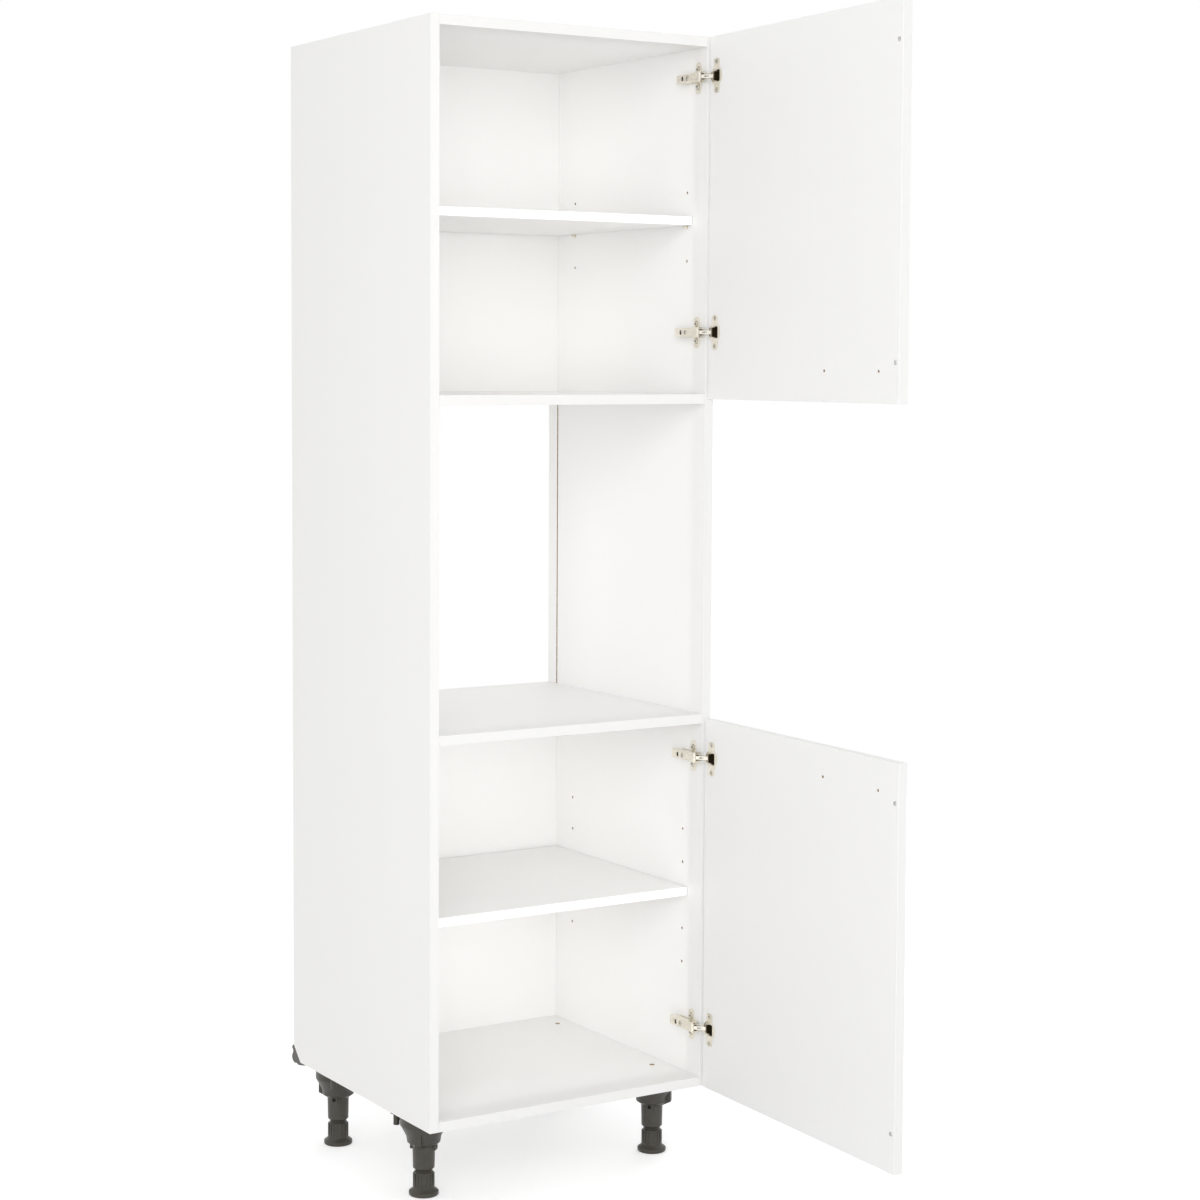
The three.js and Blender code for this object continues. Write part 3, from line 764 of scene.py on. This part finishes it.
# %% [markdown]
# Pressed parts are flat outlines with a thickness. A ring of points is moved on to the
# outline, filled, and drawn out by one extrude, which keeps the outline readable in the
# script. Cutting the same shape out of a block would take a cutter for every corner.

# %% A flat outline
FLAT = {"x": (1, 2, 0), "y": (2, 0, 1), "z": (0, 1, 2)}


def slab(finish, outline, axis, start, end):
    """A ring of points moved on to an outline, filled, and drawn out along an axis."""
    bpy.ops.object.select_all(action="DESELECT")
    bpy.ops.mesh.primitive_circle_add(vertices=len(outline), fill_type="NGON")
    piece = bpy.context.object
    across, up, along = FLAT[axis]
    for vertex, (u, v) in zip(piece.data.vertices, outline):
        place = [0.0, 0.0, 0.0]
        place[across], place[up], place[along] = u, v, start
        vertex.co = mm(*place)
    travel = [0.0, 0.0, 0.0]
    travel[along] = (end - start) * MM
    bpy.ops.object.mode_set(mode="EDIT")
    bpy.ops.mesh.select_all(action="SELECT")
    bpy.ops.mesh.extrude_region_move(TRANSFORM_OT_translate={"value": travel})
    bpy.ops.object.mode_set(mode="OBJECT")
    return dress(recalculated(piece), finish)


def rounded(half_u, half_v, radius, centre=(0, 0), steps=6):
    """The outline of a bar with round corners."""
    outline = []
    for corner in range(4):
        u = centre[0] + (half_u - radius) * (1 if corner in (0, 3) else -1)
        v = centre[1] + (half_v - radius) * (1 if corner in (0, 1) else -1)
        for step in range(steps + 1):
            angle = math.pi / 2 * (corner + step / steps)
            outline.append((u + radius * math.cos(angle), v + radius * math.sin(angle)))
    return outline


# %% [markdown]
# The plate is a bar along the side with a wing above and below for its two screws, and a
# raised bridge that the arm clips on to. Each shape gets its soft edges before it is welded
# on, because a bevel over welded surfaces can leave the mesh open. A ring of painted shade
# is sunk round each screw, where the real one has a gap.

# %% Mounting plate
PLATE_BACK, PLATE_FRONT = INNER - FIT, 280.35
WING_Y, WING_SCREW_Z = 28, 16
BAR_Y = 39
BRIDGE_OUT, BRIDGE_Y, BRIDGE_HALF = 265.9, (36, 66), 6
RIM_RADIUS, RING_RADIUS = 6.6, 5.7
SIDES = (-1, 1)

wing_outline = rounded(9, 29, 8, (WING_Y, 0))
bar_outline = rounded(29, 9, 3, (BAR_Y, 0))
wing_plate = soften(slab(nickel, wing_outline, "x", PLATE_FRONT, PLATE_BACK), 0.4, 2)
plate_bar = soften(slab(nickel, bar_outline, "x", PLATE_FRONT + 0.1, PLATE_BACK), 0.4, 2)
bridge_x, bridge_z = (BRIDGE_OUT, PLATE_FRONT + 0.2), (-BRIDGE_HALF, BRIDGE_HALF)
bridge = soften(block(nickel, bridge_x, BRIDGE_Y, bridge_z), 0.8, 2)
screw_places = [(0, WING_Y, sign * WING_SCREW_Z) for sign in SIDES]
rims = [
    soften(rod(nickel, "x", PLATE_FRONT - 0.5, PLATE_FRONT + 0.5, place, RIM_RADIUS, 32), 0.25, 2)
    for place in screw_places
]
weld(wing_plate, plate_bar, bridge, *rims)
screw_rings = [
    rod(hollow_painted_shade, "x", PLATE_FRONT - OVERCUT, PLATE_FRONT + 0.3, place, RING_RADIUS, 32)
    for place in screw_places
]
cut(wing_plate, *screw_rings)
plate = together(wing_plate, *[
    moved(copied(plate_screw), PLATE_FRONT - 0.3, y, z) for _, y, z in screw_places
])
print("plate", [round(v / MM, 1) for v in plate.dimensions], "mm")

# %% [markdown]
# The arm is a pressed channel, open towards the side. Its nose is wider than the rest, and
# its tail slopes down to the plate. It is drawn as a flat outline seen from above. Two cuts
# with bisect then give its nose edges that can be pulled wider, and its two long outer
# edges are picked by their place and bevelled, as the press rounds them.

# %% Arm
ARM_OUT, ARM_EDGE = 264, 279.4
ARM_NOSE, ARM_TAIL = 0.4, 82.4
ARM_HALF = 8
LINK_PIN = (268, 3.5)
NOSE_WIDE, NOSE_TAPER, NOSE_FLARE = 16, 27, 1.2
NEARLY = 0.1

arm = slab(nickel, [
    (ARM_OUT + 2, ARM_NOSE), (ARM_EDGE - 4, ARM_NOSE), (ARM_EDGE, ARM_NOSE + 8),
    (ARM_EDGE, ARM_TAIL - 7), (ARM_EDGE - 4, ARM_TAIL), (ARM_OUT + 8.5, ARM_TAIL),
    (ARM_OUT + 3.0, ARM_TAIL - 2.5), (ARM_OUT, ARM_TAIL - 8), (ARM_OUT, ARM_NOSE + 2.5),
], "z", -ARM_HALF, ARM_HALF)
only(arm)
bpy.ops.object.mode_set(mode="EDIT")
for split in (NOSE_WIDE, NOSE_TAPER):
    bpy.ops.mesh.select_all(action="SELECT")
    bpy.ops.mesh.bisect(plane_co=mm(0, split, 0), plane_no=(0, 1, 0))
bpy.ops.object.mode_set(mode="OBJECT")
for corner in arm.data.vertices:
    if corner.co.y < (NOSE_WIDE + NEARLY) * MM:
        corner.co.z *= NOSE_FLARE
bpy.ops.object.mode_set(mode="EDIT")
bpy.ops.mesh.select_mode(type="EDGE")
bpy.ops.mesh.select_all(action="DESELECT")
bpy.ops.object.mode_set(mode="OBJECT")
for edge in arm.data.edges:
    ends = [arm.data.vertices[index].co for index in edge.vertices]
    along = abs(ends[0].z) > (ARM_HALF - NEARLY) * MM and ends[0].z * ends[1].z > 0
    edge.select = along and all(end.x < (ARM_OUT + NEARLY) * MM for end in ends)
bpy.ops.object.mode_set(mode="EDIT")
bpy.ops.mesh.bevel(offset=2.2 * MM, segments=4, affect="EDGES")
bpy.ops.object.mode_set(mode="OBJECT")
print("arm", [round(v / MM, 1) for v in arm.dimensions], "mm")

# %% [markdown]
# The sheet is 1.6 mm thick, so the inside of the channel is cut out to leave that. The slot
# in the tail and the sunk ring round the adjusting screw are dark, as in the photograph.
# The pins end in small rivet heads on both sides of the arm.

# %% The arm's hollow, slot, screw and pins
SHEET = 1.6
SLOT_Y, ADJUSTER_Y = 56, 41
CHANNEL_HALF, NOSE_HOLLOW_HALF = 6.3, 7.9
RIVETS = ((*LINK_PIN, 2.2, 9.6), (274.5, 5.5, 2.0, 9.6), (272, 40, 1.6, ARM_HALF))


def beside(sign, near, far):
    """The limits of a shape on one side of the middle."""
    return sorted((sign * near, sign * far))


inside_x = (ARM_OUT + SHEET, ARM_EDGE + OVERCUT)
channel_z, nose_z = (-CHANNEL_HALF, CHANNEL_HALF), (-NOSE_HOLLOW_HALF, NOSE_HOLLOW_HALF)
cut(arm, block(nickel, inside_x, (ARM_NOSE - OVERCUT, ARM_TAIL - 7), channel_z))
cut(arm, block(nickel, inside_x, (ARM_NOSE - OVERCUT, NOSE_WIDE + 0.5), nose_z))
slot_outline = rounded(3, 4.2, 2.4, (SLOT_Y, 0))
# The slot's walls and the sunk ring round the adjusting screw are painted shade, nearly black.
cut(arm, slab(hollow_painted_shade, slot_outline, "x", ARM_OUT - OVERCUT, ARM_OUT + SHEET + 0.3))
cut(arm, rod(hollow_painted_shade, "x", ARM_OUT - OVERCUT, ARM_OUT + 0.5, (0, ADJUSTER_Y, 0), 4.3, 32))

arm_extras = [
    moved(copied(arm_screw), ARM_OUT + 0.45, ADJUSTER_Y, 0),
    rod(nickel, "z", -9, 9, (*LINK_PIN, 0), 1.5, 24),
]
for sign in SIDES:
    for x, y, radius, face in RIVETS:
        start, end = beside(sign, face - 0.4, face + 0.35)
        arm_extras.append(soften(rod(nickel, "z", start, end, (x, y, 0), radius, 24), 0.2, 1))
arm = together(arm, *arm_extras)
print("rivets on the arm:", 2 * len(RIVETS))

# %% [markdown]
# The links reach from the nose of the arm into the cup. The inner link is a narrow strap
# round the pin, and the outer link is a fork whose two cheeks run just inside the arm. They
# are drawn along x with the pin at the origin, which keeps their sizes plain, and turned to
# where they stand with the door open.

# %% Where the links stand
LINK_RATIO = -0.15
RIGHT_ANGLE = 90
CUP_PIN = (CUP_X + 12, DOOR_BACK + 1.2)


def link_pose(opening):
    """Length and direction of the links, from where their end is with the door at 90."""
    from_pivot = Vector((CUP_PIN[0] - PIVOT[0], CUP_PIN[1] - PIVOT[1]))
    tip = Matrix.Rotation(math.radians(RIGHT_ANGLE), 2) @ from_pivot
    reach = tip + Vector(PIVOT) - Vector(LINK_PIN)
    direction = math.degrees(math.atan2(reach.y, reach.x))
    return reach.length, direction + LINK_RATIO * (opening - RIGHT_ANGLE)


REACH, _ = link_pose(RIGHT_ANGLE)
print("links", round(REACH, 1), "mm from pin to tip")

# %% Links
STRAP_HALF, EYE_HALF = 3.4, 6.2
CHEEK_IN, CHEEK_OUT = 6.4, 7.4
CHEEK_END = REACH - 3.2

strap = soften(block(nickel, (0.6, REACH), (-0.9, 0.9), (-STRAP_HALF, STRAP_HALF)), 0.35, 2)
eye = soften(rod(nickel, "z", -EYE_HALF, EYE_HALF, (0, 0, 0), 2.25, 28), 0.2, 1)
weld(strap, eye)
cut(strap, rod(nickel, "z", -7, 7, (0, 0, 0), 1.65, 28))
# The slot in the strap is painted shade, nearly black.
cut(strap, block(hollow_painted_shade, (8, 17), (-2, 2), (-1.2, 1.2)))
cheek_outline = [
    (-2.2, 0.0), (-1.6, -1.6), (0.0, -2.2), (6.0, -1.5), (CHEEK_END - 1, -1.3),
    (CHEEK_END, -0.5), (CHEEK_END, 0.6), (CHEEK_END - 1, 1.2), (6.0, 1.5), (0.0, 2.2),
    (-1.6, 1.6),
]
cheeks = []
for sign in SIDES:
    start, end = beside(sign, CHEEK_IN, CHEEK_OUT)
    cheeks.append(soften(slab(nickel, cheek_outline, "z", start, end), 0.25, 1))
crossbar = soften(rod(nickel, "z", -7.2, 7.2, (REACH - 4.4, 0, 0), 1.1, 20), 0.2, 1)
link = together(strap, crossbar, *cheeks)
print("links", [round(v / MM, 1) for v in link.dimensions], "mm")

# %% [markdown]
# The cup is a deep-drawn pot of 35 mm with an oblong flange, held in the door by two screws.
# Its mouth is as wide as the cup and a little less high, and narrower where the links dive
# in. The flange, the rim and the pot are softened one by one and then welded. The cutter
# for the mouth is what a round rod and a flat outline have in common, which a Boolean
# intersection leaves.

# %% Cup
FLANGE_UNDER, FLANGE_TOP = DOOR_BACK + FIT, -0.85
EAR_Z, EAR_RING_RADIUS = 26, 4.5
RIM_OF_CUP, POT_RADIUS, POT_INSIDE = 18.3, 17.5, 15.8

cup = soften(slab(nickel, rounded(32, 10, 6, (0, CUP_X)), "y", FLANGE_UNDER, FLANGE_TOP), 0.3, 2)
rim = rod(nickel, "y", FLANGE_UNDER - 0.05, FLANGE_TOP + 0.15, (CUP_X, 0, 0), RIM_OF_CUP, 64)
pot = rod(nickel, "y", FLANGE_UNDER - 12.3, FLANGE_UNDER + 0.5, (CUP_X, 0, 0), POT_RADIUS, 64)
weld(cup, soften(rim, 0.35, 2), soften(pot, 1.0, 2))

# The mouth's walls take the cup's painted shade, which darkens down into the cup.
mouth = rod(cup_inside, "y", FLANGE_UNDER - 11.6, 2, (CUP_X, 0, 0), POT_INSIDE, 64)
mouth_outline = [
    (-11, -9), (-9, -11), (9, -11), (11, -9), (11, 2), (8.8, 4.5),
    (8.8, 12), (7, 14), (-7, 14), (-8.8, 12), (-8.8, 4.5), (-11, 2),
]
opening = slab(
    cup_inside, [(z, CUP_X + x) for z, x in mouth_outline], "y", FLANGE_UNDER - 12, 2.5,
)
cut(cup, with_shapes(mouth, "INTERSECT", [opening]))
ear_places = [(CUP_X, 0, sign * EAR_Z) for sign in SIDES]
# The rings round the ear screws are painted shade, nearly black.
ear_rings = [
    rod(hollow_painted_shade, "y", FLANGE_TOP - 0.25, 1, place, EAR_RING_RADIUS, 32) for place in ear_places
]
cut(cup, *ear_rings)
cup = together(cup, *[moved(copied(ear_screw), x, FLANGE_TOP, z) for x, _, z in ear_places])
print("cup mouth 22 mm high and", 2 * POT_INSIDE, "mm wide at most")

# %% [markdown]
# The four hinges are alike, so each part is copied to its height. The plate and the arm
# stay with the carcass, the links turn on their pin, and the cup goes with its door.

# %% Four hinges
for door_name, heights in HINGE_HEIGHTS.items():
    door, openness = f"{door_name}_door", OPEN[door_name]
    _, direction = link_pose(openness)
    for end, z in heights.items():
        place = f"{door_name}_{end}"
        settle(moved(copied(plate), z=z), f"plate_{place}", "carcass", "nickel", f"hinge_{place}_plate")
        settle(moved(copied(arm), z=z), f"arm_{place}", "carcass", "nickel", f"hinge_{place}_arm")
        hung_link = moved(moved(copied(link), turn=direction), *LINK_PIN, z)
        settle(hung_link, f"links_{place}", f"lever_{place}", "nickel", f"hinge_{place}_lever")
        hung_cup = moved(moved(copied(cup), z=z), turn=openness, about=PIVOT)
        settle(hung_cup, f"cup_{place}", door, "nickel", f"hinge_{place}_cup")
for master in (plate, arm, link, cup, plate_screw, arm_screw, ear_screw):
    bpy.data.objects.remove(master)
print("hinges hung at", HINGE_HEIGHTS)

# %% [markdown]
# ## Legs
#
# Each leg has a plastic socket under the base, with a dowel up into the board, and a foot
# that screws in and out. The socket is turned, then gets its plate, the rib that points at
# the corner of the unit, the bosses at the ends of the plate and two small windows. All of
# these are moulded in one, so they are welded and not just laid together. It is drawn with
# x towards that corner and turned into place.

# %% Leg socket
PLATE_TOP, PLATE_UNDER = UNDERSIDE - FIT, 146.65
STEM_HOLE = 14.4
BOSS_X, BOSS_Y = -9.5, 55

socket = soften(turned(plastic, [
    (STEM_HOLE, 45.6), (14.9, 45.6), (20.0, 51.1), (20.8, 92), (30.5, 99), (32.5, 111),
    (43.5, 131), (43.5, 146.8), (0, 146.8), (0, 120), (STEM_HOLE, 120),
], 64), 0.7, 2, 20)
leg_plate = slab(plastic, [
    (37.7, -24), (37.7, 24), (5.8, 62), (-15.3, 62),
    (-37.7, 24), (-37.7, -24), (-15.3, -62), (5.8, -62),
], "z", PLATE_UNDER, PLATE_TOP)
plate_disc = rod(plastic, "z", PLATE_UNDER, PLATE_TOP, (0, 0, 0), 43.5, 64)
corner_rib = slab(plastic, [(90, 16), (91, 20.8), (99, 38), (149, 38), (149, 16)], "y", -6, 6)
shapes = [soften(leg_plate, 0.8, 2), soften(plate_disc, 0.6, 2), soften(corner_rib, 0.9, 2)]
for sign in SIDES:
    boss = rod(plastic, "z", 122.5, 147.5, (BOSS_X, sign * BOSS_Y, 0), 5.8, 32)
    window = block(plastic, (-6.75, 6.75), beside(sign, 18, 24.8), (84.75, 98.25))
    web = block(plastic, (-11, -8.6), beside(sign, 36, 52), (131, 147.5))
    shapes += [soften(boss, 0.7, 2), soften(window, 0.8, 2), soften(web, 0.4, 1)]
dowel = rod(plastic, "z", 147, 166, (0, 0, 0), 5, 32)
weld(socket, *shapes, soften(dowel, 0.8, 2))
# The windows and the boss holes are painted shade, nearly black.
window_holes = [block(hollow_painted_shade, (-3, 3), beside(sign, 20.8, 44), (88.5, 94.5)) for sign in SIDES]
boss_holes = [rod(hollow_painted_shade, "z", 122, 132, (BOSS_X, sign * BOSS_Y, 0), 2.6, 24) for sign in SIDES]
cut(socket, *window_holes, *boss_holes)
print("socket", [round(v / MM, 1) for v in socket.dimensions], "mm")

# %% [markdown]
# The foot is turned as well: a wide disc on the floor, a flare and a sleeve with upright
# ribs that give the fingers a hold, and a stem up into the socket. The ribs could be a bump
# on the sleeve, but they break its outline, so one is a thin block with soft edges, and the
# rest are copies turned round the sleeve.

# %% Foot
STEM_RADIUS = 14
GRIP_RIBS = 18

foot = soften(turned(plastic, [
    (0, 0), (26.0, 0), (27.5, 1.6), (27.5, 7.0), (26.6, 8.0), (21.8, 11.2), (19.3, 14.5),
    (18.0, 42), (17.2, 43), (STEM_RADIUS, 43), (STEM_RADIUS, 112), (0, 112),
], 64), 0.5, 2, 20)
first_rib = soften(block(plastic, (16.8, 19.9), (-1.3, 1.3), (15, 40.5)), 0.5, 2)
ribs = [moved(copied(first_rib), turn=360 * step / GRIP_RIBS) for step in range(1, GRIP_RIBS)]
foot = together(foot, first_rib, *ribs)
print("foot with", GRIP_RIBS, "ribs")

# %% Four legs
CORNER = {"front_left": -135, "front_right": -45, "rear_left": 135, "rear_right": 45}
for place, (x, y) in LEG_PLACES.items():
    standing = moved(moved(copied(socket), turn=CORNER[place]), x, y, 0)
    settle(standing, f"socket_{place}", "carcass", "dark_plastic", f"leg_socket_{place}")
    on_floor = moved(moved(copied(foot), turn=CORNER[place]), x, y, 0)
    settle(on_floor, f"foot_disc_{place}", f"foot_{place}", "dark_plastic", f"leg_foot_{place}")
bpy.data.objects.remove(socket)
bpy.data.objects.remove(foot)
print("legs at", LEG_PLACES)

# %% [markdown]
# ## What stays from the measured model
#
# The thin back panels and the plastic shoes at the rear corners already have their right
# shape, and modelling them again would add nothing. They are kept and get their finish.

# %% Finishes on the kept solids
kept_finish = {"white_hardboard": hardboard, "dark_plastic": plastic}
node_slot = {row["node"]: row["material_slot"] for row in frame["record"]["subparts"]}
kept = [name for name, solid in frame["nodes"].items() if not solid.hide_render]
for name in kept:
    solid = frame["nodes"][name]
    for slot_of_solid in solid.material_slots:
        slot_of_solid.material = kept_finish[node_slot[name]].material
print("kept solids:", kept)

# %% [markdown]
# ## Floor and light
#
# The floor and the room are plain white to the camera. Stronger lamps would make them
# white too, but would wash out the white boards. So the white comes from Light Path, and
# the lamps stay soft and low. The floor keeps the shadows of the legs under its own light.

# %% Floor
FLOOR_LIFT = 0.42
WHITE = (1, 1, 1, 1)

bpy.ops.object.select_all(action="DESELECT")
bpy.ops.mesh.primitive_plane_add(size=90, location=(0, 0, 0))
floor = bpy.context.object
floor.name = "floor"
floor_finish = Finish("white_floor", Roughness=0.9)
floor_finish.set("Base Color", grey(0.8))
seen_straight = floor_finish.node("LightPath", output="Is Camera Ray")
seen_in_metal = floor_finish.node("LightPath", output="Is Glossy Ray")
lift_strength = (seen_straight + seen_in_metal) * FLOOR_LIFT
lift = floor_finish.node("Emission", {}, {"Color": WHITE, "Strength": lift_strength})
own_light = Wire(floor_finish, floor_finish.shader.outputs[0])
lifted = floor_finish.node("AddShader", {}, {0: own_light, 1: lift})
floor_finish.feed(floor_finish.tree.nodes["Material Output"].inputs["Surface"], lifted)
dress(floor, floor_finish)
print("floor white to the camera")

# %% Room light
ROOM_LIGHT = 0.72

world = bpy.data.worlds.new("studio")
bpy.context.scene.world = world
world.use_nodes = True
room = Nodes(world.node_tree)
background = room.tree.nodes["Background"]
room.feed(background.inputs["Color"], WHITE)
room.feed(background.inputs["Strength"], ROOM_LIGHT)
lit = Wire(room, background.outputs[0])
shown = room.node("Background", {}, {"Color": WHITE, "Strength": 1.0})
straight, in_metal, through_rubber = [
    room.node("LightPath", output=f"Is {ray} Ray") for ray in ("Camera", "Glossy", "Transmission")
]
seen = straight.or_else(in_metal).or_else(through_rubber)
sky = room.node("MixShader", {}, {0: seen, 1: lit, 2: shown})
room.feed(room.tree.nodes["World Output"].inputs["Surface"], sky)
print("room light", ROOM_LIGHT)

# %% [markdown]
# One wide softbox beside the camera opens up the cupboards and shades the left side a
# little. A weaker one behind the unit keeps its back from going grey, and hardly shows
# from the front. Neither shows in a reflection, where it would be a bright patch.

# %% Softboxes
def softbox(name, place, target, size, power):
    bpy.ops.object.light_add(type="AREA", location=place)
    lamp = bpy.context.object
    lamp.name = name
    lamp.data.shape = "RECTANGLE"
    lamp.data.size, lamp.data.size_y = size
    lamp.data.energy = power
    lamp.visible_glossy = False
    aim = Vector(target) - Vector(place)
    lamp.rotation_euler = aim.to_track_quat("-Z", "Y").to_euler()
    return lamp


MIDDLE = (0, 0, 1.1)
softbox("side_softbox", (-3.0, -3.6, 2.1), MIDDLE, (2.8, 3.4), 100)
softbox("rear_softbox", (3.4, 3.0, 2.1), MIDDLE, (2.4, 3.0), 45)
print("softboxes aim at", MIDDLE)

# %% [markdown]
# Deep white cupboards swallow light from outside, so their far corners would turn grey. Two
# weak panels of light in each space, one in its mouth facing in and one at its left side
# facing the far corner, fill it as evenly as a photographer's reflectors would. They face
# away from the front edges and the doors, and the camera doesn't see them.

# %% Fill for the cupboards and the niche
SPACES = {
    "upper": {"middle": 1.781, "tall": 0.62, "from_front": 0.48, "from_left": 0.32},
    "niche": {"middle": 1.152, "tall": 0.56, "from_front": 0.32, "from_left": 0.1},
    "lower": {"middle": 0.505, "tall": 0.65, "from_front": 0.6, "from_left": 0.26},
}
FRONT_WIDE, FRONT_Y, FRONT_SPREAD = 0.55, 0.05, 115
LEFT_WIDE, LEFT_PLACE, FAR_CORNER, LEFT_SPREAD = 0.3, (-0.235, 0.4), (0.28, 0.53), 75


def fill(name, place, target, wide, tall, brightness, spread):
    panel = softbox(name, place, target, (wide, tall), math.pi * wide * tall * brightness)
    panel.visible_camera = False
    panel.data.spread = math.radians(spread)


for name, space in SPACES.items():
    z, tall = space["middle"], space["tall"]
    from_front, from_left = space["from_front"], space["from_left"]
    front, into = (0, FRONT_Y, z), (0, 1, z)
    left, corner = (*LEFT_PLACE, z), (*FAR_CORNER, z)
    fill(f"{name}_front_fill", front, into, FRONT_WIDE, tall, from_front, FRONT_SPREAD)
    fill(f"{name}_left_fill", left, corner, LEFT_WIDE, tall, from_left, LEFT_SPREAD)

# %% [markdown]
# ## View
#
# The view is left plain, so that a colour renders as it is written.

# %% View
bpy.context.scene.view_settings.view_transform = "Standard"
